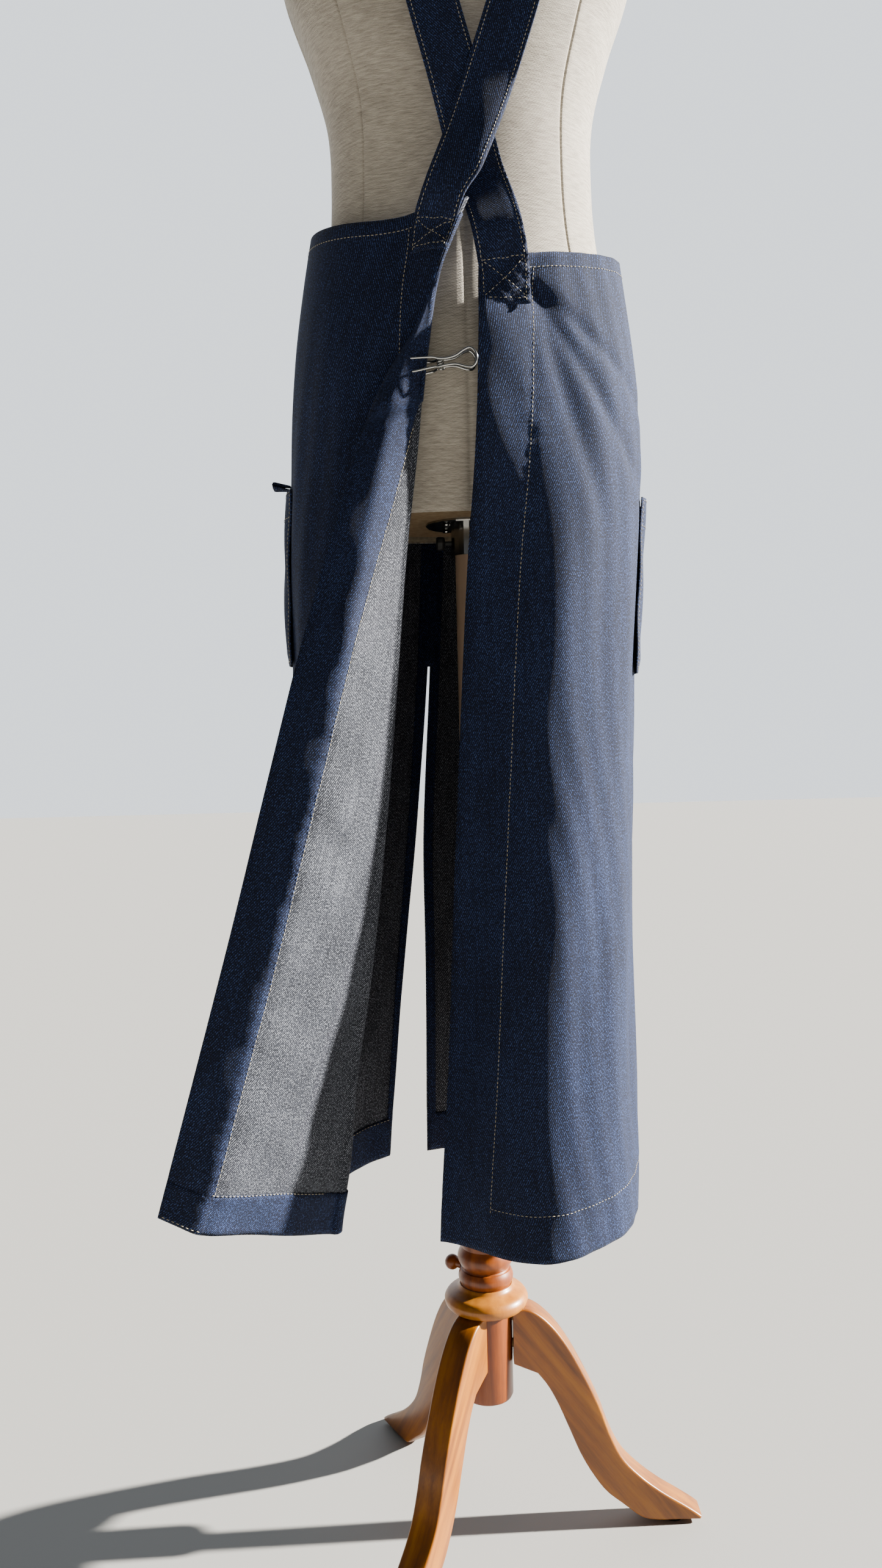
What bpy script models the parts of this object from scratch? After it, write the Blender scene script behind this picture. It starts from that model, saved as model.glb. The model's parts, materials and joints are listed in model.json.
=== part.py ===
"""Denim cross-back split-leg apron hanging on a linen dress form with a turned wooden tripod stand.

Metres, +Z up. The dress form faces +Y, so the back of the apron faces -Y. The stand's axis is a
vertical line through the parent empty, which puts the whole model's footprint over the origin.
"""

import math

import bmesh
import bpy
import numpy as np
from mathutils import Matrix, Vector
from mathutils.bvhtree import BVHTree

# ---- driving dimensions -------------------------------------------------------------------------
CENTRE_SHIFT = Vector((0.0289, 0.0153, 0.0))    # moves the stand's axis so the model's box is centred
GAP = 0.0003                     # clearance between touching pieces

COLUMN_RADIUS = 0.023
COLUMN_BOTTOM = 0.120
COLUMN_TOP = 0.340
BORE_BOTTOM = 0.130
FLANGE_RADIUS = 0.038
FLANGE_BOTTOM = 0.205
FLANGE_TOP = 0.2258
POLE_RADIUS = 0.0125
POLE_BOTTOM = 0.178
POLE_TOP = 0.962
RUNNING = 0.0004                 # radial clearance of the pole in its bores

LEG_THICKNESS = 0.025
LEG_ANGLES = {"leg_right": 0.0, "leg_rear": 120.0, "leg_front": 240.0}
PAD_HEIGHT = 0.003
DOWEL_RADIUS = 0.004
DOWEL_HEIGHTS = (0.168, 0.193)
KNOB_ANGLE = math.radians(150.0)
KNOB_HEIGHT = 0.2370
KNOB_RADIUS = 0.0070

TORSO_BOTTOM = 0.908
TORSO_TOP = 1.645
SHELL_WALL = 0.008
COVER_GAP = 0.0007
COVER_THICKNESS = 0.0013
BOARD_THICKNESS = 0.012
BOARD_BOTTOM = 0.9125
SOCKET_RADIUS = 0.0160
SOCKET_BOTTOM = 0.884
SOCKET_TOP = 0.985

CLOTH = 0.0014                   # denim with its turnings, as one solid
STRAP_WIDTH = 0.040
BAND_OVERLAP = 0.0034            # middle of a strap's foot to the middle of the panel under it
LAPEL_FLAT_WIDTH = 0.035         # the turned-back edge lies flat where it is narrower than this
LAPEL_BELLY = 0.10               # how far its middle bows out, as a share of the width beyond that
EDGE_TUCK, TUCK_WIDTH = 0.045, 0.050    # the right panel's back edge hangs inwards near the hem
HEM_LIFT = 0.0024                # a hem's turned cloth in front of the bib
POCKET_HEIGHT = 0.148
POCKET_DEPTH = 0.0080

WIRE_RADIUS = 0.0011
CLIP_LENGTH = 0.057
CLIP_CENTRE = Vector((-0.0225, -0.1194, 1.0190))

# Body form: height, half width, front depth, back depth, squareness of the oval
TORSO_STATIONS = (
    (0.908, 0.1370, 0.086, 0.094, 2.3),
    (0.985, 0.1450, 0.100, 0.107, 2.3),
    (1.060, 0.1350, 0.097, 0.098, 2.3),
    (1.130, 0.1160, 0.087, 0.081, 2.3),
    (1.195, 0.1105, 0.082, 0.076, 2.3),
    (1.250, 0.1125, 0.087, 0.082, 2.3),
    (1.305, 0.1270, 0.099, 0.091, 2.4),
    (1.365, 0.1470, 0.108, 0.099, 2.5),
    (1.425, 0.1540, 0.098, 0.103, 2.6),
    (1.480, 0.1560, 0.080, 0.096, 2.7),
    (1.520, 0.1450, 0.068, 0.082, 2.6),
    (1.545, 0.1180, 0.060, 0.071, 2.4),
    (1.562, 0.0850, 0.055, 0.062, 2.2),
    (1.580, 0.0590, 0.052, 0.056, 2.0),
    (1.610, 0.0530, 0.050, 0.053, 2.0),
    (1.645, 0.0520, 0.050, 0.052, 2.0),
)
BUST_HEIGHT, BUST_SPREAD, BUST_RISE = 1.352, 0.072, 0.020

# Skirt oval: height, half width on the left, half width on the right, front depth, back depth
SKIRT_STATIONS = (
    (0.270, 0.1500, 0.1362, 0.122, 0.146),
    (0.340, 0.1510, 0.1362, 0.122, 0.144),
    (0.450, 0.1530, 0.1352, 0.121, 0.140),
    (0.560, 0.1550, 0.1352, 0.120, 0.136),
    (0.670, 0.1570, 0.1372, 0.119, 0.133),
    (0.780, 0.1575, 0.1412, 0.118, 0.130),
    (0.860, 0.1575, 0.1452, 0.116, 0.127),
    (0.950, 0.1530, 0.1492, 0.113, 0.124),
    (1.055, 0.1460, 0.1440, 0.107, 0.117),
    (1.115, 0.1375, 0.1360, 0.100, 0.107),
    (1.160, 0.1295, 0.1300, 0.094, 0.098),
)
SKIRT_SQUARENESS = 2.5

# Centre-back edge of the right panel, roll line of the left panel and the front slit: height, x
RIGHT_EDGE = ((0.270, -0.046), (0.330, -0.042), (0.440, -0.033), (0.565, -0.025), (0.690, -0.017),
              (0.780, -0.011), (0.873, -0.004), (0.935, 0.002), (1.110, 0.010))
LEFT_ROLL = ((0.270, -0.128), (0.330, -0.122), (0.372, -0.114), (0.452, -0.105), (0.540, -0.091),
             (0.642, -0.078), (0.783, -0.063), (0.872, -0.054), (0.955, -0.043), (1.032, -0.034),
             (1.094, -0.021), (1.135, -0.008))
RIGHT_SLIT = ((0.270, -0.054), (0.315, -0.053), (0.508, -0.050), (0.606, -0.049), (0.794, -0.0380),
              (1.170, -0.018))
LEFT_SLIT = ((0.270, -0.094), (0.323, -0.089), (0.507, -0.070), (0.606, -0.0580), (0.794, -0.0400),
             (1.170, -0.020))
# Free edge of the turned-back lapel: height of its cloth row at the roll, then x, y, z of the edge
LAPEL_EDGE = ((0.330, -0.250, -0.203, 0.366), (0.440, -0.222, -0.196, 0.470),
              (0.560, -0.190, -0.186, 0.585), (0.680, -0.161, -0.176, 0.695),
              (0.800, -0.133, -0.164, 0.800), (0.900, -0.106, -0.149, 0.893),
              (0.980, -0.084, -0.132, 0.965), (1.040, -0.061, -0.1238, 1.014),
              (1.075, -0.038, -0.1215, 1.050))

MATERIALS = {
    "varnished_wood": ((0.60, 0.19, 0.035), 0.32, 0.0),
    "pale_wood": ((0.72, 0.36, 0.13), 0.34, 0.0),
    "raw_wood": ((0.62, 0.45, 0.27), 0.6, 0.0),
    "plywood": ((0.55, 0.40, 0.24), 0.65, 0.0),
    "felt": ((0.10, 0.09, 0.08), 0.95, 0.0),
    "brass": ((0.75, 0.55, 0.24), 0.3, 1.0),
    "steel": ((0.62, 0.62, 0.62), 0.25, 1.0),
    "plastic": ((0.03, 0.03, 0.03), 0.5, 0.0),
    "papier_mache": ((0.52, 0.46, 0.36), 0.85, 0.0),
    "linen": ((0.56, 0.51, 0.42), 0.9, 0.0),
    "denim": ((0.016, 0.035, 0.10), 0.9, 0.0),
    "thread": ((0.75, 0.68, 0.50), 0.8, 0.0),
}


# ---- tools --------------------------------------------------------------------------------------
def start_empty_scene():
    for old in list(bpy.data.objects):
        bpy.data.objects.remove(old)
    origin = bpy.data.objects.new("stand_axis", None)
    bpy.context.scene.collection.objects.link(origin)
    origin.location = CENTRE_SHIFT
    return origin


def material(name):
    found = bpy.data.materials.get(name)
    if found:
        return found
    colour, roughness, metallic = MATERIALS[name]
    made = bpy.data.materials.new(name)
    made.use_nodes = True
    shader = made.node_tree.nodes["Principled BSDF"]
    shader.inputs["Base Color"].default_value = (*colour, 1.0)
    shader.inputs["Roughness"].default_value = roughness
    shader.inputs["Metallic"].default_value = metallic
    return made


def finish_piece(name, bm, finish, origin, smooth=True):
    """Turns a bmesh into the named object on the stand's axis."""
    bmesh.ops.remove_doubles(bm, verts=bm.verts, dist=1e-6)
    bmesh.ops.recalc_face_normals(bm, faces=bm.faces)
    mesh = bpy.data.meshes.new(name)
    bm.to_mesh(mesh)
    bm.free()
    if smooth:
        mesh.shade_smooth()
        mesh.set_sharp_from_angle(angle=math.radians(35))
    mesh.materials.append(material(finish))
    piece = bpy.data.objects.new(name, mesh)
    bpy.context.scene.collection.objects.link(piece)
    piece.parent = origin
    return piece


def read_stations(stations, height):
    """Smooth values between the rows of a table whose first column is the height."""
    table = np.array(sorted(stations))
    keys, values = table[:, 0], table[:, 1:]
    height = min(max(height, keys[0]), keys[-1])
    slopes = np.gradient(values, keys, axis=0)
    i = min(int(np.searchsorted(keys, height, side="right")) - 1, len(keys) - 2)
    span = keys[i + 1] - keys[i]
    t = (height - keys[i]) / span
    return ((2 * t**3 - 3 * t**2 + 1) * values[i] + (t**3 - 2 * t**2 + t) * span * slopes[i]
            + (3 * t**2 - 2 * t**3) * values[i + 1] + (t**3 - t**2) * span * slopes[i + 1])


def turned(bm, profile, sides=24, at=Matrix.Identity(4)):
    """Spins a closed outline of (radius, height) points about the local Z axis."""
    before = set(bm.verts)
    corners = [bm.verts.new((r, 0.0, z)) for r, z in profile]
    edges = [bm.edges.new(pair) for pair in zip(corners, corners[1:] + corners[:1])]
    bmesh.ops.spin(bm, geom=corners + edges, cent=(0, 0, 0), axis=(0, 0, 1),
                   angle=math.tau, steps=sides, use_merge=True)
    bmesh.ops.remove_doubles(bm, verts=bm.verts, dist=1e-6)
    loose = [e for e in bm.edges if not e.link_faces]
    bmesh.ops.delete(bm, geom=loose, context="EDGES")
    made = [v for v in bm.verts if v not in before]
    bmesh.ops.transform(bm, matrix=at, verts=made)


def turned_piece(name, profile, finish, origin, sides=24, at=Matrix.Identity(4)):
    bm = bmesh.new()
    turned(bm, profile, sides, at)
    return finish_piece(name, bm, finish, origin)


def grid_faces(bm, rows, wrap=False):
    """Quads between rows of points; wrap joins each row's end to its start."""
    made = [[bm.verts.new(point) for point in row] for row in rows]
    count = len(made[0])
    last = count if wrap else count - 1
    for low, high in zip(made, made[1:]):
        for i in range(last):
            j = (i + 1) % count
            bm.faces.new((low[i], low[j], high[j], high[i]))
    return made


def sheet_piece(name, rows, thickness, finish, origin, side=0.0):
    """A thin closed solid on a grid of points. side 1 puts the whole thickness on the normals' side."""
    bm = bmesh.new()
    grid_faces(bm, rows)
    bm.normal_update()
    mesh_normals = {v: v.normal.copy() for v in bm.verts}
    low_shift = thickness * (side - 1.0) / 2.0
    originals = list(bm.verts)
    for v in originals:
        v.co += mesh_normals[v] * low_shift
    faces = list(bm.faces)
    copy = bmesh.ops.duplicate(bm, geom=originals + list(bm.edges) + faces)
    twin = copy["vert_map"]
    for v in originals:
        twin[v].co = v.co + mesh_normals[v] * thickness
    border = [e for e in bm.edges if len(e.link_faces) == 1 and e.verts[0] in mesh_normals]
    for e in border:
        a, b = e.verts
        bm.faces.new((a, b, twin[b], twin[a]))
    return finish_piece(name, bm, finish, origin)


def wire_tube(bm, path, radius, sides=6, closed=True):
    """A round wire along a path of points."""
    points = [Vector(p) for p in path]
    count = len(points)
    rings = []
    across = None
    for i, here in enumerate(points):
        ahead = points[(i + 1) % count] if closed or i < count - 1 else here
        behind = points[i - 1] if closed or i > 0 else here
        along = (ahead - behind).normalized()
        if across is None:
            across = along.orthogonal().normalized()
        across = (across - along * across.dot(along)).normalized()
        other = along.cross(across)
        rings.append([bm.verts.new(here + radius * (math.cos(a) * across + math.sin(a) * other))
                      for a in (math.tau * k / sides for k in range(sides))])
    for i in range(count if closed else count - 1):
        near, far = rings[i], rings[(i + 1) % count]
        offset = 0
        if closed and i == count - 1:
            offset = min(range(sides), key=lambda s: (near[0].co - far[s].co).length)
        for k in range(sides):
            bm.faces.new((near[k], near[(k + 1) % sides], far[(k + 1 + offset) % sides],
                          far[(k + offset) % sides]))
    if not closed:
        bm.faces.new(reversed(rings[0]))
        bm.faces.new(rings[-1])


# ---- stand --------------------------------------------------------------------------------------
def make_column(origin):
    r, bore = COLUMN_RADIUS, POLE_RADIUS + RUNNING
    bead = [(r + 0.0022 * math.sin(math.pi * k / 4), 0.2430 + 0.0160 * k / 4) for k in range(5)]
    profile = [(0.0, COLUMN_BOTTOM), (r - 0.002, COLUMN_BOTTOM), (r, COLUMN_BOTTOM + 0.002),
               (r, 0.2365), (r + 0.0012, 0.2385), (r - 0.0012, 0.2415), *bead,
               (r - 0.0010, 0.2605), (r - 0.0006, 0.2660), (r - 0.0006, COLUMN_TOP - 0.003),
               (r - 0.0036, COLUMN_TOP), (bore, COLUMN_TOP), (bore, BORE_BOTTOM), (0.0, BORE_BOTTOM)]
    column = turned_piece("stand_column", profile, "varnished_wood", origin, sides=24)
    cuts = [dowel_frame(angle, height) for angle in LEG_ANGLES.values() for height in DOWEL_HEIGHTS]
    drill(column, [(m, DOWEL_RADIUS + GAP, DOWEL_DEPTH_IN + GAP, 0.02) for m in cuts]
          + [(knob_frame(), 0.0047, 0.020, 0.01)])
    return column


DOWEL_DEPTH_IN = 0.007           # how deep a dowel sits in the column's wall
DOWEL_LENGTH = 0.026


def dowel_frame(angle_deg, height):
    """Local Z points outwards through a leg joint, from the column's surface."""
    turn = Matrix.Rotation(math.radians(angle_deg), 4, "Z")
    return turn @ Matrix.Translation((COLUMN_RADIUS, 0, height)) @ Matrix.Rotation(math.pi / 2, 4, "Y")


def knob_frame():
    turn = Matrix.Rotation(KNOB_ANGLE, 4, "Z")
    return turn @ Matrix.Translation((COLUMN_RADIUS, 0, KNOB_HEIGHT)) @ Matrix.Rotation(math.pi / 2, 4, "Y")


def drill(piece, holes):
    """Cuts round holes: (frame, radius, depth below the frame, height above it)."""
    bm = bmesh.new()
    for frame, radius, depth, above in holes:
        turned(bm, [(0, -depth), (radius, -depth), (radius, above), (0, above)], 12, frame)
    bmesh.ops.recalc_face_normals(bm, faces=bm.faces)
    mesh = bpy.data.meshes.new(piece.name + "_holes")
    bm.to_mesh(mesh)
    bm.free()
    cutter = bpy.data.objects.new(piece.name + "_holes", mesh)
    bpy.context.scene.collection.objects.link(cutter)
    cutter.parent = piece.parent
    cutter.hide_render = True
    cutter.display_type = "WIRE"
    cut = piece.modifiers.new("holes", "BOOLEAN")
    cut.operation = "DIFFERENCE"
    cut.object = cutter


def leg_outline():
    """Cabriole board: outer back from the joint down to the toe, then the inner side back up."""
    back = ((0.0235, 0.2046), (0.034, 0.2046), (0.042, 0.2020), (0.053, 0.1940), (0.065, 0.1805),
            (0.078, 0.160), (0.092, 0.132), (0.1025, 0.108), (0.110, 0.086), (0.121, 0.063), (0.137, 0.0455),
            (0.156, 0.0305), (0.175, 0.0185), (0.187, 0.0105), (0.1925, 0.0060), (0.1915, 0.0034))
    inner = ((0.170, 0.0034), (0.153, 0.0034), (0.138, 0.0065), (0.122, 0.0185), (0.106, 0.0315),
             (0.094, 0.0475), (0.083, 0.067), (0.073, 0.091), (0.063, 0.115), (0.054, 0.132),
             (0.043, 0.1430), (0.034, 0.1490), (0.0235, 0.1530))
    return back + inner


def make_leg(name, angle, origin):
    bm = bmesh.new()
    corners = [bm.verts.new((x, -LEG_THICKNESS / 2, z)) for x, z in leg_outline()]
    side = bm.faces.new(corners)
    grown = bmesh.ops.extrude_face_region(bm, geom=[side])
    moved = [g for g in grown["geom"] if isinstance(g, bmesh.types.BMVert)]
    bmesh.ops.translate(bm, verts=moved, vec=(0, LEG_THICKNESS, 0))
    bmesh.ops.rotate(bm, verts=bm.verts, cent=(0, 0, 0), matrix=Matrix.Rotation(angle, 3, "Z"))
    leg = finish_piece(name, bm, "varnished_wood", origin)
    degrees = math.degrees(angle)
    cope = (Matrix.Identity(4), COLUMN_RADIUS + GAP, -0.10, 0.30)
    holes = [(dowel_frame(degrees, h), DOWEL_RADIUS + GAP, 0.01,
              DOWEL_LENGTH - DOWEL_DEPTH_IN + GAP) for h in DOWEL_HEIGHTS]
    drill(leg, [cope] + holes)
    return leg


def make_stand(origin):
    make_column(origin)
    lip = FLANGE_RADIUS
    inner = COLUMN_RADIUS + GAP
    flange = [(inner, FLANGE_BOTTOM), (lip - 0.008, FLANGE_BOTTOM), (lip - 0.002, FLANGE_BOTTOM + 0.004),
              (lip, FLANGE_BOTTOM + 0.0085), (lip - 0.001, FLANGE_BOTTOM + 0.0125),
              (lip - 0.0045, FLANGE_BOTTOM + 0.0155), (lip - 0.009, FLANGE_BOTTOM + 0.0172),
              (inner + 0.0015, FLANGE_TOP), (inner, FLANGE_TOP)]
    turned_piece("column_flange", flange, "pale_wood", origin, sides=24)
    for name, degrees in LEG_ANGLES.items():
        make_leg(name, math.radians(degrees), origin)

    for name, degrees in LEG_ANGLES.items():
        centre = Matrix.Rotation(math.radians(degrees), 4, "Z") @ Matrix.Translation((0.168, 0, 0))
        turned_piece(name.replace("leg", "foot_pad"),
                     [(0, 0), (0.009, 0), (0.009, PAD_HEIGHT), (0, PAD_HEIGHT)], "felt", origin, 16, centre)
        for place, height in zip(("lower", "upper"), DOWEL_HEIGHTS):
            low, high = -DOWEL_DEPTH_IN + GAP, DOWEL_LENGTH - DOWEL_DEPTH_IN - GAP
            turned_piece(name.replace("leg", "dowel") + "_" + place,
                         [(0, low), (DOWEL_RADIUS, low), (DOWEL_RADIUS, high), (0, high)],
                         "raw_wood", origin, 12, dowel_frame(degrees, height))

    thread_radius = 0.0025
    wall = COLUMN_RADIUS - POLE_RADIUS - RUNNING
    turned_piece("clamp_insert", [(thread_radius + GAP, -wall + 0.0008), (0.0044, -wall + 0.0008),
                                  (0.0044, -0.0010), (thread_radius + GAP, -0.0010)],
                 "brass", origin, 12, knob_frame())
    ball = [(KNOB_RADIUS * math.cos(a), 0.0120 + 0.0068 * math.sin(a))
            for a in (math.radians(t) for t in range(-50, 91, 28))]
    ball[-1] = (0.0, 0.0188)
    knob = [(0.0, -wall - RUNNING + 0.0007), (thread_radius, -wall - RUNNING + 0.0007),
            (thread_radius, 0.0008), (0.0042, 0.0012), (0.0042, 0.0060)] + ball
    turned_piece("clamp_knob", knob, "varnished_wood", origin, 16, knob_frame())


def make_pole(origin):
    wall = 0.0015
    r = POLE_RADIUS
    turned_piece("pole", [(r - wall, POLE_BOTTOM), (r, POLE_BOTTOM), (r, POLE_TOP), (r - wall, POLE_TOP)],
                 "steel", origin, 24)
    stem = r - wall - GAP
    turned_piece("pole_cap", [(0, POLE_TOP - 0.018), (stem, POLE_TOP - 0.018), (stem, POLE_TOP + GAP),
                              (r - 0.0005, POLE_TOP + GAP), (r - 0.0015, POLE_TOP + 0.004),
                              (0, POLE_TOP + 0.005)], "plastic", origin, 24)


# ---- dress form ---------------------------------------------------------------------------------
def torso_point(turn, height, out=0.0):
    """Surface of the body form. turn 0 is +X and 90 degrees is the front; out moves it outwards."""
    half, front, back, square = read_stations(TORSO_STATIONS, height)
    c, s = math.cos(turn), math.sin(turn)
    x = half * math.copysign(abs(c) ** (2 / square), c)
    depth = front if s > 0 else back
    y = depth * math.copysign(abs(s) ** (2 / square), s)
    if s > 0:
        y += s * BUST_RISE * (math.exp(-(((abs(x) - BUST_SPREAD) / 0.036) ** 2)
                              - ((height - BUST_HEIGHT) / 0.048) ** 2))
    flat = Vector((x / half**2, y / depth**2, 0)).normalized()
    return Vector((x, y, height)) + flat * out


SEAM_TURNS = tuple(math.radians(t) for t in (0, 46, 90, 134, 180, 226, 270, 314, 360))
PANEL_NAMES = ("cover_side_front_right", "cover_front_right", "cover_front_left",
               "cover_side_front_left", "cover_side_back_left", "cover_back_left",
               "cover_back_right", "cover_side_back_right")
PANEL_SEGMENTS = 3
LEVELS = (0.908, 0.960, 1.015, 1.070, 1.125, 1.165, 1.205, 1.255, 1.305, 1.352, 1.400, 1.455,
          1.500, 1.530, 1.551, 1.566, 1.584, 1.645)


def panel_turns(index, inset=0.0):
    low, high = SEAM_TURNS[index] + inset, SEAM_TURNS[index + 1] - inset
    return [low + (high - low) * k / PANEL_SEGMENTS for k in range(PANEL_SEGMENTS + 1)]


def make_torso(origin):
    ring = [t for i in range(len(PANEL_NAMES)) for t in panel_turns(i)[:-1]]
    bm = bmesh.new()
    outer = [[torso_point(t, z) for t in ring] for z in LEVELS]
    inner = [[torso_point(t, z, -SHELL_WALL) for t in ring] for z in LEVELS]
    skins = [grid_faces(bm, outer, wrap=True), grid_faces(bm, inner, wrap=True)]
    for k in (0, -1):
        for i in range(len(ring)):
            j = (i + 1) % len(ring)
            bm.faces.new((skins[0][k][i], skins[0][k][j], skins[1][k][j], skins[1][k][i]))
    finish_piece("body_shell", bm, "papier_mache", origin)

    seam_inset = 0.0035
    for index, name in enumerate(PANEL_NAMES):
        rows = [[torso_point(t, z, COVER_GAP) for t in panel_turns(index, seam_inset)] for z in LEVELS]
        sheet_piece(name, rows, COVER_THICKNESS, "linen", origin, side=1.0)

    board = bmesh.new()
    hole = SOCKET_RADIUS + GAP
    loops = []
    for z in (BOARD_BOTTOM, BOARD_BOTTOM + BOARD_THICKNESS):
        rim = [torso_point(t, TORSO_BOTTOM, -SHELL_WALL - 0.0008) for t in ring]
        loops.append([board.verts.new((p.x, p.y, z)) for p in rim])
        loops.append([board.verts.new((hole * math.cos(t), hole * math.sin(t), z)) for t in ring])
    for a, b in ((0, 1), (1, 3), (3, 2), (2, 0)):
        for i in range(len(ring)):
            j = (i + 1) % len(ring)
            board.faces.new((loops[a][i], loops[a][j], loops[b][j], loops[b][i]))
    finish_piece("base_board", board, "plywood", origin)

    bore = POLE_RADIUS + RUNNING
    lip = BOARD_BOTTOM - GAP
    socket = [(bore, SOCKET_BOTTOM), (SOCKET_RADIUS, SOCKET_BOTTOM), (SOCKET_RADIUS, lip - 0.0025),
              (0.037, lip - 0.0025), (0.038, lip - 0.0015), (0.038, lip), (SOCKET_RADIUS, lip),
              (SOCKET_RADIUS, SOCKET_TOP), (0, SOCKET_TOP), (0, POLE_TOP + 0.0056), (bore, POLE_TOP + 0.0056)]
    socket_piece = turned_piece("pole_socket", socket, "steel", origin, sides=20)
    screw_frame = turn_screw_frame()
    drill(socket_piece, [(screw_frame, 0.0023, 0.004, 0.002)])

    for k in range(4):
        place = (Matrix.Rotation(math.radians(45 + 90 * k), 4, "Z")
                 @ Matrix.Translation((0.028, 0, lip - 0.0028)))
        turned_piece(f"socket_screw_{k + 1}", [(0, 0), (0.0024, 0), (0.0036, -0.0006), (0.0030, -0.0016),
                                               (0, -0.0019)], "steel", origin, 12, place)
    turned_piece("turn_screw", [(0, -0.0031), (0.0020, -0.0031), (0.0020, 0.0050), (0.0052, 0.0056),
                                (0.0060, 0.0075), (0.0060, 0.0115), (0.0052, 0.0130), (0, 0.0134)],
                 "plastic", origin, 12, screw_frame)

    top = TORSO_TOP + GAP
    neck = 0.0515
    shift = Matrix.Translation((0, -0.001, 0))
    turned_piece("neck_cap", [(0, top), (neck, top), (neck + 0.002, top + 0.002), (neck + 0.002, top + 0.007),
                              (neck - 0.001, top + 0.010), (0.012, top + 0.013), (0, top + 0.013)],
                 "varnished_wood", origin, 28, shift)
    tip = top + 0.013 + GAP
    turned_piece("neck_finial", [(0, tip), (0.008, tip), (0.0068, tip + 0.004), (0.0105, tip + 0.011),
                                 (0.0125, tip + 0.018), (0.0105, tip + 0.025), (0.005, tip + 0.0295),
                                 (0, tip + 0.0305)], "varnished_wood", origin, 20, shift)
    for name, sign in (("arm_plate_right", 1), ("arm_plate_left", -1)):
        plate = bmesh.new()
        turned(plate, [(0, 0), (1.0, 0), (1.0, 0.003), (0.93, 0.0045), (0, 0.0055)], 24)
        place = (Matrix.Translation((sign * (0.1556 + COVER_GAP + COVER_THICKNESS + 0.0016), -0.006, 1.4640))
                 @ Matrix.Rotation(sign * math.radians(89.0), 4, "Y")
                 @ Matrix.Diagonal((0.052, 0.036, 1.0, 1.0)))
        bmesh.ops.transform(plate, matrix=place, verts=plate.verts)
        finish_piece(name, plate, "linen", origin)


def turn_screw_frame():
    """Local Z points outwards to the left, from the socket's surface below its flange."""
    return Matrix.Translation((-SOCKET_RADIUS, 0, 0.8955)) @ Matrix.Rotation(-math.pi / 2, 4, "Y")


# ---- apron --------------------------------------------------------------------------------------
def edge_x(table, height):
    return float(read_stations(table, height)[0])


def skirt_point(turn, height, out=0.0):
    """The skirt's oval. turn 0 is +X, 90 degrees the front, 270 degrees the back."""
    left, right, front, back = read_stations(SKIRT_STATIONS, height)
    c, s = math.cos(turn), math.sin(turn)
    half = right if c > 0 else left
    depth = front if s > 0 else back
    x = half * math.copysign(abs(c) ** (2 / SKIRT_SQUARENESS), c)
    y = depth * math.copysign(abs(s) ** (2 / SKIRT_SQUARENESS), s)
    flat = Vector((x / half**2, y / depth**2, 0)).normalized()
    return Vector((x, y, height)) + flat * out


def skirt_turn(x, height, at_front):
    """The turn at which the skirt's oval has this x."""
    left, right, _, _ = read_stations(SKIRT_STATIONS, height)
    half = right if x > 0 else left
    c = math.copysign(min(abs(x) / half, 1.0) ** (SKIRT_SQUARENESS / 2), x)
    return math.acos(c) if at_front else math.tau - math.acos(c)


def panel_rows(slit, edge, top, bottom, columns, rows, tuck=0.0):
    """Cloth from the front slit (share 0) round the side to the centre back (share 1)."""
    grid = []
    for j in range(rows + 1):
        row = []
        for i in range(columns + 1):
            share = i / columns
            high = np.interp(share, [0, 0.5, 1], top)
            low = np.interp(share, [0, 0.5, 1], bottom)
            z = float(low + (high - low) * j / rows)
            start = skirt_turn(edge_x(slit, z), z, True)
            end = skirt_turn(edge_x(edge, z), z, False)
            if edge is RIGHT_EDGE:
                end -= math.tau
            point = skirt_point(start + (end - start) * share, z)
            if point.y < 0:
                fall = min(max((1.0 - z) / 0.69, 0.0), 1.0)
                away = (point.x - edge_x(edge, z)) / TUCK_WIDTH
                point.y += tuck * fall * fall * (3 - 2 * fall) * math.exp(-away * away)
            row.append(point)
        grid.append(row)
    return grid


RIGHT_TOP, RIGHT_HEM = (1.150, 1.125, 1.104), (0.307, 0.310, 0.302)
LEFT_TOP, LEFT_HEM = (1.150, 1.150, 1.128), (0.307, 0.290, 0.330)


def make_wraps(origin):
    right = panel_rows(RIGHT_SLIT, RIGHT_EDGE, RIGHT_TOP, RIGHT_HEM, 16, 10, EDGE_TUCK)
    sheet_piece("right_wrap", right, CLOTH, "denim", origin)
    left = panel_rows(LEFT_SLIT, LEFT_ROLL, LEFT_TOP, LEFT_HEM, 14, 10)
    sheet_piece("left_wrap", left, CLOTH, "denim", origin)


def lapel_point(row_height, share):
    """Cloth turned back outwards at the roll line: share 0 at the roll, 1 at the free edge."""
    turn = skirt_turn(edge_x(LEFT_ROLL, row_height), row_height, False)
    roll = skirt_point(turn, row_height, 0.0027)
    ex, ey, ez = read_stations(LAPEL_EDGE, row_height)
    edge = Vector((ex, ey, ez))
    belly = LAPEL_BELLY * max((edge - roll).length - LAPEL_FLAT_WIDTH, 0.0) * math.sin(math.pi * share)
    return roll.lerp(edge, share) + Vector((0, -belly, 0))


def make_lapel(origin):
    heights = [0.330 + (1.075 - 0.330) * k / 10 for k in range(11)]
    rows = [[lapel_point(z, share) for share in (0.02, 0.25, 0.5, 0.75, 1.0)] for z in heights]
    sheet_piece("left_turnback", rows, CLOTH, "denim", origin)


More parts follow.
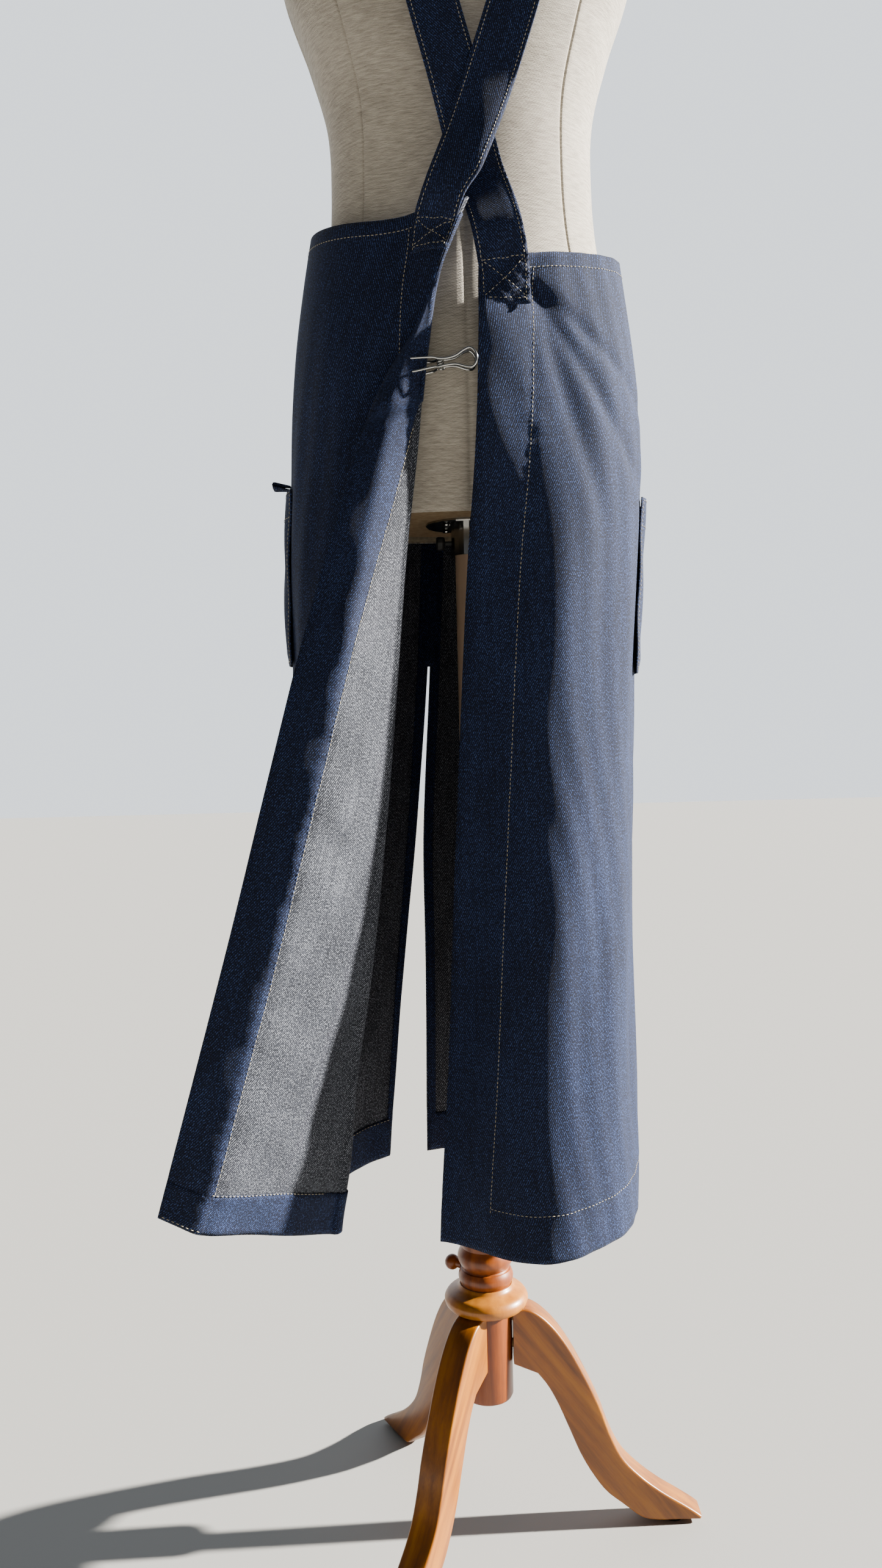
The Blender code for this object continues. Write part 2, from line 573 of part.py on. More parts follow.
def pocket_rows(centre_turn, half_turn, top, depth):
    """A pouch on the outside of the skirt: flat margins sewn down on three sides, open on top."""
    offsets_across = (0.0, 0.07, 0.14, 0.32, 0.5, 0.68, 0.86, 0.93, 1.0)
    lift_across = (0.0, 0.55, 1.0, 1.0, 1.0, 1.0, 1.0, 0.55, 0.0)
    rise = (0.0, 0.035, 0.08, 0.35, 0.70, 1.0)
    lift_up = (0.0, 0.55, 1.0, 1.0, 1.0, 1.0)
    rows = []
    for share, up in zip(rise, lift_up):
        z = top - POCKET_HEIGHT * (1 - share)
        rows.append([skirt_point(centre_turn + half_turn * (2 * u - 1), z, 0.0022 + depth * min(up, across))
                     for u, across in zip(offsets_across, lift_across)])
    return rows


def make_pockets(origin):
    half = math.radians(30)
    right = pocket_rows(math.radians(4), half, 0.924, POCKET_DEPTH)
    left = pocket_rows(math.radians(176), half, 0.938, POCKET_DEPTH)
    sheet_piece("pocket_right", right, 0.0012, "denim", origin)
    sheet_piece("pocket_left", left, 0.0012, "denim", origin)


def make_side_loop(origin):
    """A short tab folded double and sewn at its root, beside the left pocket's mouth."""
    root = skirt_point(math.pi + 0.130, 0.9480)
    reach, half_width, bend = 0.0135, 0.0065, 0.0015
    side = [(-0.0016, -bend), (-reach * 0.6, -bend), (-reach + 0.0012, -bend * 0.8), (-reach, 0.0),
            (-reach + 0.0012, bend * 0.8), (-reach * 0.6, bend), (-0.0016, bend)]
    rows = [[Vector((root.x + x, root.y + w, root.z + z)) for x, z in side]
            for w in (-half_width, half_width)]
    sheet_piece("side_loop", rows, 0.0012, "denim", origin)


def torso_depth(x, height, front):
    """Depth (y) of the body form's surface at this x."""
    half, fore, back, square = read_stations(TORSO_STATIONS, height)
    share = min(abs(x) / half, 0.98)
    turn = math.acos(math.copysign(share ** (square / 2), x))
    return torso_point(turn if front else math.tau - turn, height).y


def make_bib(origin):
    bottom, top, rows, columns = 1.1525, 1.405, 8, 10
    grid = []
    for j in range(rows + 1):
        z = bottom + (top - bottom) * j / rows
        share = j / rows
        half = 0.114 + (0.096 - 0.114) * share
        row = []
        for i in range(columns + 1):
            x = -0.006 + half * (2 * i / columns - 1)
            stand_off = 0.014 - 0.001 * share
            row.append(Vector((x, bib_depth(x, z) + stand_off, z)))
        grid.append(row)
    sheet_piece("bib", [row[::-1] for row in grid], CLOTH, "denim", origin)
    hem = [[point + Vector((0, HEM_LIFT, 0)) for point in row] for row in grid[-2:]]
    sheet_piece("bib_hem", [row[::-1] for row in hem], 0.0012, "denim", origin)


def bib_depth(x, height):
    """Cloth spans the hollow between the busts and below them, so it follows their tops."""
    return max(torso_depth(x * 0.6, height, True), torso_depth(x, height, True),
               torso_depth(0.6 * x, min(height + 0.05, 1.36), True) - 0.012)


def body_skin():
    """Outside of the linen covers, for cloth to lie on."""
    ring = [t for i in range(len(PANEL_NAMES)) for t in panel_turns(i)[:-1]]
    count = len(ring)
    points = [torso_point(t, z, COVER_GAP + COVER_THICKNESS) for z in LEVELS for t in ring]
    faces = [(r * count + k, r * count + (k + 1) % count, (r + 1) * count + (k + 1) % count,
              (r + 1) * count + k) for r in range(len(LEVELS) - 1) for k in range(count)]
    return BVHTree.FromPolygons(points, faces)


def lie_on(skin, point, stand_off, hold=False):
    """Moves a point out to stand_off from the skin; hold also pulls it in to that distance."""
    near, normal, _, _ = skin.find_nearest(point)
    if hold or (point - near).dot(normal) < stand_off:
        return near + normal * stand_off
    return point


def smooth_path(points, steps):
    """Catmull-Rom curve through the given points."""
    points = [points[0] * 2 - points[1]] + points + [points[-1] * 2 - points[-2]]
    curve = []
    for a, b, c, d in zip(points, points[1:], points[2:], points[3:]):
        for k in range(steps):
            t = k / steps
            curve.append(0.5 * ((2 * b) + (c - a) * t + (2 * a - 5 * b + 4 * c - d) * t**2
                                + (3 * b - a - 3 * c + d) * t**3))
    curve.append(points[-2])
    return curve


# Middle line of each strap from its foot on a back panel, over the shoulder, to behind the bib
STRAP_LOWER = ((0.029, None, 1.066), (0.029, None, 1.096), (0.025, -0.1140, 1.128), (0.010, -0.1125, 1.180),
               (-0.007, -0.1105, 1.245), (-0.024, -0.1085, 1.310), (-0.040, -0.1080, 1.375),
               (-0.055, -0.107, 1.430), (-0.066, -0.100, 1.480), (-0.075, -0.080, 1.525),
               (-0.081, -0.045, 1.556), (-0.083, -0.008, 1.566), (-0.083, 0.028, 1.556),
               (-0.081, 0.058, 1.525), (-0.079, 0.082, 1.480), (-0.078, 0.100, 1.435), (-0.077, 0.110, 1.385))
STRAP_UPPER = ((-0.024, None, 1.088), (-0.022, None, 1.120), (-0.013, -0.1200, 1.150), (0.004, -0.1160, 1.192),
               (0.023, -0.1135, 1.245), (0.043, -0.110, 1.305), (0.061, -0.108, 1.370),
               (0.073, -0.106, 1.430), (0.080, -0.098, 1.480), (0.084, -0.078, 1.525),
               (0.086, -0.045, 1.552), (0.086, -0.008, 1.562), (0.083, 0.028, 1.556),
               (0.078, 0.058, 1.525), (0.072, 0.082, 1.480), (0.068, 0.100, 1.435), (0.065, 0.110, 1.385))


def make_strap(name, guide, skin, origin):
    over_shoulder, clear = 1.40, 0.0034
    points = []
    for x, y, z in guide:
        if y is None:
            turn = skirt_turn(x, z, False)
            point = skirt_point(turn, z, BAND_OVERLAP)
        else:
            point = lie_on(skin, Vector((x, y, z)), clear, hold=z > over_shoulder)
        points.append(point)
    middle = smooth_path(points, 3)
    rows = []
    for k, point in enumerate(middle):
        ahead, behind = middle[min(k + 1, len(middle) - 1)], middle[max(k - 1, 0)]
        normal = Vector((0, -1, 0))
        if point.z > over_shoulder:
            normal = skin.find_nearest(point)[1]
        across = (ahead - behind).normalized().cross(normal).normalized()
        row = [lie_on(skin, point + across * STRAP_WIDTH * s, clear) for s in (-0.5, -0.17, 0.17, 0.5)]
        rows.append(row)
    sheet_piece(name, rows, CLOTH, "denim", origin)


def make_straps(origin):
    skin = body_skin()
    make_strap("strap_lower", STRAP_LOWER, skin, origin)
    make_strap("strap_upper", STRAP_UPPER, skin, origin)


# ---- clip ---------------------------------------------------------------------------------------
def clip_half(sign):
    """One wire arm seen from behind: square jaw on the left, drop-shaped handle on the right."""
    tip, waist, half_jaw, half_loop = CLIP_LENGTH / 2, 0.0036, 0.0052, 0.0074
    outline = [(-tip, -half_jaw + 0.001), (-tip, half_jaw - 0.001), (-tip + 0.001, half_jaw),
               (-tip + 0.010, half_jaw - 0.0003), (-0.004, waist), (0.004, waist * 0.72),
               (0.012, waist * 0.9), (0.019, half_loop * 0.92), (0.024, half_loop),
               (tip - 0.001, half_loop * 0.55), (tip, 0.0)]
    loop = outline + [(x, -z) for x, z in reversed(outline[2:-1])]
    points = []
    for x, z in loop:
        handle = 0.0060 * max(x - 0.004, 0.0) / (tip - 0.004)
        jaw = 0.0041 * min(max((-0.002 - x) / 0.004, 0.0), 1.0)
        points.append(CLIP_CENTRE + Vector((x, sign * (0.0030 + handle + jaw), z)))
    return points


def make_clip(origin):
    for name, sign in (("clip_outer_arm", -1), ("clip_inner_arm", 1)):
        bm = bmesh.new()
        wire_tube(bm, clip_half(sign), WIRE_RADIUS, sides=6, closed=True)
        finish_piece(name, bm, "steel", origin)
    spring = bmesh.new()
    coil = [CLIP_CENTRE + Vector((0.0006 * math.cos(a), 0.0006 * math.sin(a), -0.0068 + 0.0136 * k / 12))
            for k, a in ((k, math.radians(100 * k)) for k in range(13))]
    wire_tube(spring, coil, 0.0004, sides=6, closed=False)
    finish_piece("clip_spring", spring, "steel", origin)


def main():
    origin = start_empty_scene()
    make_stand(origin)
    make_pole(origin)
    make_torso(origin)
    make_wraps(origin)
    make_lapel(origin)
    make_pockets(origin)
    make_side_loop(origin)
    make_bib(origin)
    make_straps(origin)
    make_clip(origin)


main()
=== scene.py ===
"""Looks of a raw-denim cross-back apron hanging on a linen dress form with a turned beech stand.

Metres, +Z up. The dress form faces +Y, so the back of the apron faces -Y. Every place is worked out
from the stand's own axis, which is the middle of the CAD column.
"""

import json
import math

import bmesh
import bpy
import numpy as np
from mathutils import Matrix, Vector
from mathutils.bvhtree import BVHTree

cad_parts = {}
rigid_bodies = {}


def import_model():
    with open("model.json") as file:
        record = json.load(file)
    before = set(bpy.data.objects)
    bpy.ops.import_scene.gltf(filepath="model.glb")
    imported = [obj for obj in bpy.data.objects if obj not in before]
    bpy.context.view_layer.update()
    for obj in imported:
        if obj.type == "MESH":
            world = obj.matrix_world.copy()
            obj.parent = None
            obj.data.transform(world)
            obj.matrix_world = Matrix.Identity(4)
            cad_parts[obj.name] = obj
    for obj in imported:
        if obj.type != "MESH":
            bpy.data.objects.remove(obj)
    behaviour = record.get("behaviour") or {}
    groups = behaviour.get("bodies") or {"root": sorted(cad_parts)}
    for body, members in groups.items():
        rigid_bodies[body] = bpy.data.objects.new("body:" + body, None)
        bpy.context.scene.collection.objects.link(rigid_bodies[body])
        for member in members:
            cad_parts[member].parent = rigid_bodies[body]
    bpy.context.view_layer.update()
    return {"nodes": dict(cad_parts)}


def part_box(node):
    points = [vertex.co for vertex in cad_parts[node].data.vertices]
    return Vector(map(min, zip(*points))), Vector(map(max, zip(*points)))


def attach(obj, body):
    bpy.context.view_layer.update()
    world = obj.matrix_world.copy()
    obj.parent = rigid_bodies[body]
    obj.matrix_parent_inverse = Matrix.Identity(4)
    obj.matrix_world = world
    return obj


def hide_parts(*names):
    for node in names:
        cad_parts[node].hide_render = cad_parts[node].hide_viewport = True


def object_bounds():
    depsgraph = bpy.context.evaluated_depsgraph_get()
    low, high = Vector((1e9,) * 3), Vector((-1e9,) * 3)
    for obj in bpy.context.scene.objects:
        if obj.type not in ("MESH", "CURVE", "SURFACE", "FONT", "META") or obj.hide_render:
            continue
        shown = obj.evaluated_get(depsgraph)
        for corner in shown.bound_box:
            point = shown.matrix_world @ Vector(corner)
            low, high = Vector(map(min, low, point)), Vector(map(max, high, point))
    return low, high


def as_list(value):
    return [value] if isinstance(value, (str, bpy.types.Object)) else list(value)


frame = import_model()

POLE_LOW, POLE_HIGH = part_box("pole")
AXIS = Vector(((POLE_LOW.x + POLE_HIGH.x) / 2, (POLE_LOW.y + POLE_HIGH.y) / 2, 0.0))


# ==== camera and light ===========================================================================
CAMERA_SETBACK = 1.100           # from the stand's axis to the lens
CAMERA_SIDE = -0.030
CAMERA_HEIGHT = 0.742
CAMERA_PITCH = math.radians(3.1)
CAMERA_ROLL = math.radians(1.4)
LENS_MM, SENSOR_MM = 28.25, 36.0


def place_camera():
    forward = Vector((0, math.cos(CAMERA_PITCH), -math.sin(CAMERA_PITCH)))
    level = Vector((1, 0, 0))
    upward = level.cross(forward)
    right = math.cos(CAMERA_ROLL) * level - math.sin(CAMERA_ROLL) * upward
    up = math.sin(CAMERA_ROLL) * level + math.cos(CAMERA_ROLL) * upward
    data = bpy.data.cameras.new("camera")
    data.lens, data.sensor_width = LENS_MM, SENSOR_MM
    data.clip_start = 0.02
    camera = bpy.data.objects.new("camera", data)
    bpy.context.scene.collection.objects.link(camera)
    turn = Matrix((right, up, -forward)).transposed().to_4x4()
    place = AXIS + Vector((CAMERA_SIDE, -CAMERA_SETBACK, CAMERA_HEIGHT))
    camera.matrix_world = Matrix.Translation(place) @ turn
    bpy.context.scene.camera = camera


LIGHT_AIM = Vector((0, 0, 0.8))
FLOOR_SIZE = 9.0


def add_light(name, kind, place, strength, size, colour):
    data = bpy.data.lights.new(name, kind)
    data.energy = strength
    data.color = colour
    if kind == "AREA":
        data.shape = "DISK"
        data.size = size
    else:
        data.angle = size
    light = bpy.data.objects.new(name, data)
    bpy.context.scene.collection.objects.link(light)
    light.location = AXIS + Vector(place)
    light.rotation_euler = (LIGHT_AIM - Vector(place)).to_track_quat("-Z", "Y").to_euler()


def make_studio():
    add_light("key", "SUN", (3.0, 0.20, 2.10), 34.0, math.radians(1.5), (1.0, 0.955, 0.88))
    add_light("fill", "AREA", (-1.2, -2.6, 1.7), 0.5, 2.2, (0.86, 0.92, 1.0))
    world = bpy.data.worlds.new("studio")
    bpy.context.scene.world = world
    world.use_nodes = True
    tree = world.node_tree
    coords = add(tree, "ShaderNodeTexCoord").outputs["Generated"]
    toward = add(tree, "ShaderNodeSeparateXYZ", {"Vector": coords})
    glow = add(tree, "ShaderNodeMapRange", {"Value": toward.outputs["Y"], "From Min": 0.15, "From Max": 0.80,
                                           "To Min": 0.09, "To Max": 1.6}, interpolation_type="SMOOTHSTEP")
    back = tree.nodes["Background"]
    back.inputs["Color"].default_value = (0.88, 0.94, 1.0, 1)
    tree.links.new(glow.outputs["Result"], back.inputs["Strength"])

    bm = bmesh.new()
    bmesh.ops.create_grid(bm, x_segments=1, y_segments=1, size=FLOOR_SIZE)
    mesh = bpy.data.meshes.new("floor")
    bm.to_mesh(mesh)
    bm.free()
    floor = bpy.data.objects.new("floor", mesh)
    bpy.context.scene.collection.objects.link(floor)
    floor.location.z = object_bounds()[0][2]
    floor.data.materials.append(plain_finish("floor_paint", "#989794", 0.8))


# ==== finishes ===================================================================================
def linear(hex_colour, alpha=1.0):
    """sRGB hex to the linear values a shader takes."""
    parts = [int(hex_colour[i:i + 2], 16) / 255 for i in (1, 3, 5)]
    return tuple(c / 12.92 if c <= 0.04045 else ((c + 0.055) / 1.055) ** 2.4 for c in parts) + (alpha,)


def add(tree, kind, inputs=None, **settings):
    """One shader node with its settings; inputs holds values or other nodes' output sockets."""
    made = tree.nodes.new(kind)
    for key, value in settings.items():
        setattr(made, key, value)
    for key, value in (inputs or {}).items():
        if isinstance(value, bpy.types.NodeSocket):
            tree.links.new(value, made.inputs[key])
        else:
            made.inputs[key].default_value = value
    return made


def new_finish(name, roughness, metallic=0.0):
    """A material, its node tree and its main shader."""
    made = bpy.data.materials.new(name)
    made.use_nodes = True
    shader = made.node_tree.nodes["Principled BSDF"]
    shader.inputs["Roughness"].default_value = roughness
    shader.inputs["Metallic"].default_value = metallic
    return made, made.node_tree, shader


def plain_finish(name, colour, roughness):
    made, _, shader = new_finish(name, roughness)
    shader.inputs["Base Color"].default_value = linear(colour)
    return made


def ramp(tree, value, low, high, *stops):
    """Colour ramp through (place, hex colour) stops, for values that run from low to high."""
    scaled = add(tree, "ShaderNodeMapRange", {"Value": value, "From Min": low, "From Max": high})
    made = add(tree, "ShaderNodeValToRGB", {"Fac": scaled.outputs["Result"]})
    ends = made.color_ramp.elements
    for index, (place, colour) in enumerate(stops):
        element = ends[index] if index < 2 else ends.new(place)
        element.position = place
        element.color = linear(colour)
    return made.outputs["Color"]


def fused(tree, value, factor, rest=None):
    """The value times a factor, plus the rest where there is one."""
    inputs, kind = {0: value, 1: factor}, "MULTIPLY"
    if rest is not None:
        inputs[2], kind = rest, "MULTIPLY_ADD"
    return add(tree, "ShaderNodeMath", inputs, operation=kind).outputs["Value"]


def mapped(tree, coords, **settings):
    """Coordinates moved through a mapping node."""
    settings = {key.capitalize(): value for key, value in settings.items()}
    return add(tree, "ShaderNodeMapping", {"Vector": coords, **settings}).outputs["Vector"]


def noise(tree, coords, detail, scale=1.0, **settings):
    inputs = {"Vector": coords, "Scale": scale, "Detail": detail, **settings}
    return add(tree, "ShaderNodeTexNoise", inputs).outputs["Fac"]


def cloth_noise(tree, coords, across, along, detail, roughness):
    """Noise whose grains are about this wide and this long, in metres of cloth."""
    return noise(tree, mapped(tree, coords, scale=(1 / across, 1 / along, 1.0)), detail, Roughness=roughness)


def ribs(tree, coords, pitch, direction, distortion, detail_scale):
    """The wavy ribs of a weave, this far apart."""
    inputs = {"Vector": coords, "Scale": math.tau / (10 * pitch), "Distortion": distortion, "Detail": 2.0,
              "Detail Scale": detail_scale}
    return add(tree, "ShaderNodeTexWave", inputs, wave_type="BANDS", bands_direction=direction).outputs["Fac"]


def dress(tree, shader, colour, height, relief, strength):
    """Gives a finish its colour and its relief."""
    tree.links.new(colour, shader.inputs["Base Color"])
    bump = add(tree, "ShaderNodeBump", {"Height": height, "Distance": relief, "Strength": strength})
    tree.links.new(bump.outputs["Normal"], shader.inputs["Normal"])


TWILL_PITCH = 0.0013             # real twill lines are 0.8 mm apart: drawn coarser so that they show
FLECK = 0.0008
LINEN_PITCH = 0.0021             # real ribs are 0.9 mm apart: drawn coarser too
LINEN_SLANT = math.radians(12)
MARK_SHADE = 0.82                # how dark a draw mark is beside the bare metal


def denim(name, stops):
    """Rope-dyed 3/1 twill: steep diagonal lines, pale weft flecks and uneven warp streaks."""
    made, tree, shader = new_finish(name, 0.88)
    coords = add(tree, "ShaderNodeUVMap", uv_map="cloth").outputs["UV"]
    steep = mapped(tree, coords, scale=(1.0, 0.62, 1.0))
    twill = ribs(tree, steep, TWILL_PITCH * math.sqrt(2), "DIAGONAL", 2.2, 1.6)
    flecks = cloth_noise(tree, coords, FLECK, FLECK * 2.1, 3.0, 0.7)
    streak = cloth_noise(tree, coords, 0.0028, 0.055, 2.0, 0.6)
    cloud = cloth_noise(tree, coords, 0.045, 0.09, 3.0, 0.55)
    grain = fused(tree, flecks, twill)
    body = fused(tree, grain, 0.5, fused(tree, flecks, 0.95))
    body = fused(tree, cloud, 0.12, fused(tree, streak, 0.16, body))
    dress(tree, shader, ramp(tree, body, 0.50, 0.98, *stops), body, 0.0005, 0.5)
    shader.inputs["Sheen Weight"].default_value = 0.05
    shader.inputs["Sheen Roughness"].default_value = 0.45
    shader.inputs["Sheen Tint"].default_value = linear("#aab6d8")
    shader.inputs["Specular IOR Level"].default_value = 0.25
    return made


def linen(name):
    """Unbleached linen twill, stretched tight: fine slanted ribs and slubs."""
    made, tree, shader = new_finish(name, 0.9)
    coords = add(tree, "ShaderNodeUVMap", uv_map="cloth").outputs["UV"]
    rib = ribs(tree, mapped(tree, coords, rotation=(0, 0, LINEN_SLANT)), LINEN_PITCH, "Y", 3.0, 1.3)
    slub = cloth_noise(tree, coords, 0.012, 0.0016, 3.0, 0.6)
    cloud = cloth_noise(tree, coords, 0.06, 0.06, 3.0, 0.5)
    mixed = fused(tree, cloud, 0.3, fused(tree, slub, 0.9, fused(tree, rib, 0.45)))
    colour = ramp(tree, mixed, 0.45, 1.15, (0.0, "#6c655b"), (1.0, "#c0b8aa"), (0.5, "#999184"))
    dress(tree, shader, colour, mixed, 0.0005, 0.6)
    shader.inputs["Sheen Weight"].default_value = 0.15
    return made


def varnished(name, dark, middle, light, spin=0.0, tilt=0.0):
    """Stained beech under gloss varnish: long grain and short pore flecks, turned to run down a leg."""
    made, tree, shader = new_finish(name, 0.36)
    coords = add(tree, "ShaderNodeTexCoord").outputs["Object"]
    coords = mapped(tree, mapped(tree, coords, rotation=(0, 0, -spin)), rotation=(0, tilt, 0))
    long_grain = mapped(tree, coords, scale=(1 / 0.009, 1 / 0.009, 1 / 0.16))
    grain = noise(tree, long_grain, 4.0, Roughness=0.5, Distortion=0.3)
    pores = noise(tree, mapped(tree, coords, scale=(1 / 0.0011, 1 / 0.0011, 1 / 0.011)), 2.0)
    colour = ramp(tree, fused(tree, pores, 0.22, grain), 0.35, 0.85, (0.0, dark), (1.0, light), (0.5, middle))
    dress(tree, shader, colour, pores, 0.0001, 0.25)
    shader.inputs["Coat Weight"].default_value = 0.07
    shader.inputs["Coat Roughness"].default_value = 0.14
    return made


def brushed(name, colour, roughness, metallic):
    """Drawn or coated steel with fine lengthwise draw marks."""
    made, tree, shader = new_finish(name, roughness, metallic)
    coords = add(tree, "ShaderNodeTexCoord").outputs["Object"]
    marks = noise(tree, mapped(tree, coords, scale=(900.0, 900.0, 14.0)), 3.0)
    bare = linear(colour)
    darker = tuple(c * MARK_SHADE for c in bare[:3]) + (1.0,)
    shade = add(tree, "ShaderNodeMix", {0: marks, 6: darker, 7: bare}, data_type="RGBA").outputs[2]
    dress(tree, shader, shade, marks, 0.0001, 0.3)
    return made


def mottled(name, dark, light, grain, roughness):
    """Pressed pulp, felt, plywood or moulded plastic: a fine all-round mottle."""
    made, tree, shader = new_finish(name, roughness)
    coords = add(tree, "ShaderNodeTexCoord").outputs["Object"]
    mottle = noise(tree, coords, 4.0, 1 / grain)
    dress(tree, shader, ramp(tree, mottle, 0.3, 0.7, (0.0, dark), (1.0, light)), mottle, 0.0003, 0.4)
    return made


LEG_GRAIN = math.radians(38)     # a leg board's grain runs this far off upright


def make_finishes():
    face = ((0.0, "#01030c"), (1.0, "#3a4f80"), (0.42, "#040a1e"), (0.74, "#0a1734"))
    wood = ("#5c2e00", "#804800", "#9e6000")
    back = ((0.0, "#06070b"), (1.0, "#858992"), (0.38, "#161920"), (0.68, "#353841"))
    return {
        "denim_face": denim("denim_face", face),
        "denim_back": denim("denim_back", back),
        "thread": plain_finish("cotton_thread", "#a89e84", 0.8),
        "linen": linen("linen_twill"),
        "linen_plain": mottled("linen_piece", "#ada390", "#d0c7b5", 0.0014, 0.9),
        "denim_plain": mottled("denim_piece", "#121b38", "#33426a", 0.0011, 0.9),
        "wood_up": varnished("varnished_beech", "#562400", "#763600", "#904a00"),
        "wood_leg_right": varnished("varnished_beech_right_leg", *wood, 0.0, LEG_GRAIN),
        "wood_leg_rear": varnished("varnished_beech_rear_leg", *wood, math.radians(120), LEG_GRAIN),
        "wood_leg_front": varnished("varnished_beech_front_leg", *wood, math.radians(240), LEG_GRAIN),
        "wood_pale": varnished("pale_varnished_beech", "#8c5008", "#9e6012", "#b0701c"),
        "raw_wood": mottled("raw_beech", "#9c7a50", "#bf9a6c", 0.004, 0.7),
        "plywood": mottled("plywood", "#8d7455", "#ab9372", 0.006, 0.7),
        "pulp": mottled("pressed_pulp", "#7b6f5c", "#958974", 0.003, 0.9),
        "felt": mottled("pressed_felt", "#191715", "#2c2926", 0.001, 0.95),
        "brass": brushed("machined_brass", "#c9a457", 0.3, 1.0),
        "steel": brushed("drawn_stainless", "#b5b5b3", 0.2, 1.0),
        "pole": brushed("coated_steel_tube", "#c7ab92", 0.45, 0.0),
        "plastic": mottled("black_moulding", "#0b0b0c", "#151517", 0.002, 0.5),
    }


# ==== smooth tables ==============================================================================
class Stations:
    """Smooth curves through given rows; the first column is the height."""

    def __init__(self, *rows):
        table = np.array(sorted(rows), float)
        self.keys, self.values = table[:, 0], table[:, 1:]
        self.slopes = np.gradient(self.values, self.keys, axis=0)

    def __call__(self, height):
        height = np.clip(np.asarray(height, float), self.keys[0], self.keys[-1])
        i = np.clip(np.searchsorted(self.keys, height, side="right") - 1, 0, len(self.keys) - 2)
        span = self.keys[i + 1] - self.keys[i]
        t = (height - self.keys[i]) / span
        weights = (2 * t**3 - 3 * t**2 + 1, (t**3 - 2 * t**2 + t) * span, 3 * t**2 - 2 * t**3,
                   (t**3 - t**2) * span)
        rows = (self.values[i], self.slopes[i], self.values[i + 1], self.slopes[i + 1])
        mixed = sum(w[..., None] * row for w, row in zip(weights, rows))
        return np.moveaxis(mixed, -1, 0)


def between(share, table):
    """Value at a share of a width, from the values at its start, middle and end."""
    return np.interp(share, [0, 0.5, 1], table)


def ease(low, high, value):
    """0 below low, 1 above high, smooth between."""
    t = np.clip((np.asarray(value, float) - low) / (high - low), 0, 1)
    return t * t * (3 - 2 * t)


def bell(value, centre, width):
    """1 at the centre, falling smoothly away on both sides."""
    return np.exp(-((np.asarray(value, float) - centre) / width) ** 2)


def stack(x, y, z):
    x, y, z = np.broadcast_arrays(x, y, z)
    return np.stack([x, y, z], axis=-1)


def signed_power(value, power):
    """Power of the size, with the sign kept."""
    return np.sign(value) * np.abs(value) ** power


def sheet_places(u, v):
    """u and v as arrays of one shape."""
    return np.broadcast_arrays(np.asarray(u, float), np.asarray(v, float))


def pushed_out(x, y, half, depth, height, out):
    """Places on an oval, moved outwards by this distance."""
    length = np.hypot(x / half**2, y / depth**2)
    return stack(x + out * x / half**2 / length, y + out * y / depth**2 / length, height)


# ==== body form ==================================================================================
TORSO = Stations((0.908, 0.1370, 0.086, 0.094, 2.3), (0.985, 0.1450, 0.100, 0.107, 2.3),
                 (1.060, 0.1350, 0.097, 0.098, 2.3), (1.130, 0.1160, 0.087, 0.081, 2.3),
                 (1.195, 0.1105, 0.082, 0.076, 2.3), (1.250, 0.1125, 0.087, 0.082, 2.3),
                 (1.305, 0.1270, 0.099, 0.091, 2.4), (1.365, 0.1470, 0.108, 0.099, 2.5),
                 (1.425, 0.1540, 0.098, 0.103, 2.6), (1.480, 0.1560, 0.080, 0.096, 2.7),
                 (1.520, 0.1450, 0.068, 0.082, 2.6), (1.545, 0.1180, 0.060, 0.071, 2.4),
                 (1.562, 0.0850, 0.055, 0.062, 2.2), (1.580, 0.0590, 0.052, 0.056, 2.0),
                 (1.610, 0.0530, 0.050, 0.053, 2.0), (1.645, 0.0520, 0.050, 0.052, 2.0))
BUST_HEIGHT, BUST_SPREAD, BUST_RISE = 1.352, 0.072, 0.020
COVER_OUT = 0.0020
CORE_GAP = 0.0004                # between the pulp shell and the cloth's inside
TORSO_BOTTOM, TORSO_TOP = 0.908, 1.645
SEAM_DEGREES = (0, 46, 90, 134, 180, 226, 270, 314, 360)


def torso_surface(turn, height, out=0.0):
    """Places on the body form; turn 0 is at the form's +X side and a quarter turn at its front."""
    half, front, back, square = TORSO(height)
    c, s = np.cos(turn), np.sin(turn)
    x = half * signed_power(c, 2 / square)
    depth = np.where(s > 0, front, back)
    y = depth * signed_power(s, 2 / square)
    bust = BUST_RISE * np.exp(-(((np.abs(x) - BUST_SPREAD) / 0.036) ** 2)
                              - ((height - BUST_HEIGHT) / 0.048) ** 2)
    return pushed_out(x, y + np.where(s > 0, s * bust, 0), half, depth, height, out)


# ==== making pieces ==============================================================================
def place_piece(name, bm, finishes, body, replaced=(), smooth_angle=0):
    """Links a finished piece at the stand's axis, with its place in its mesh."""
    mesh = bpy.data.meshes.new(name)
    bm.to_mesh(mesh)
    bm.free()
    mesh.transform(Matrix.Translation(AXIS))
    mesh.shade_smooth()
    if smooth_angle:
        mesh.set_sharp_from_angle(angle=math.radians(smooth_angle))
    for finish in finishes:
        mesh.materials.append(FINISH[finish])
    piece = bpy.data.objects.new(name, mesh)
    bpy.context.scene.collection.objects.link(piece)
    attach(piece, body)
    if replaced:
        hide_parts(*replaced)
    return piece


STITCH_LENGTH, STITCH_GAP, THREAD_WIDTH = 0.0026, 0.0010, 0.00062


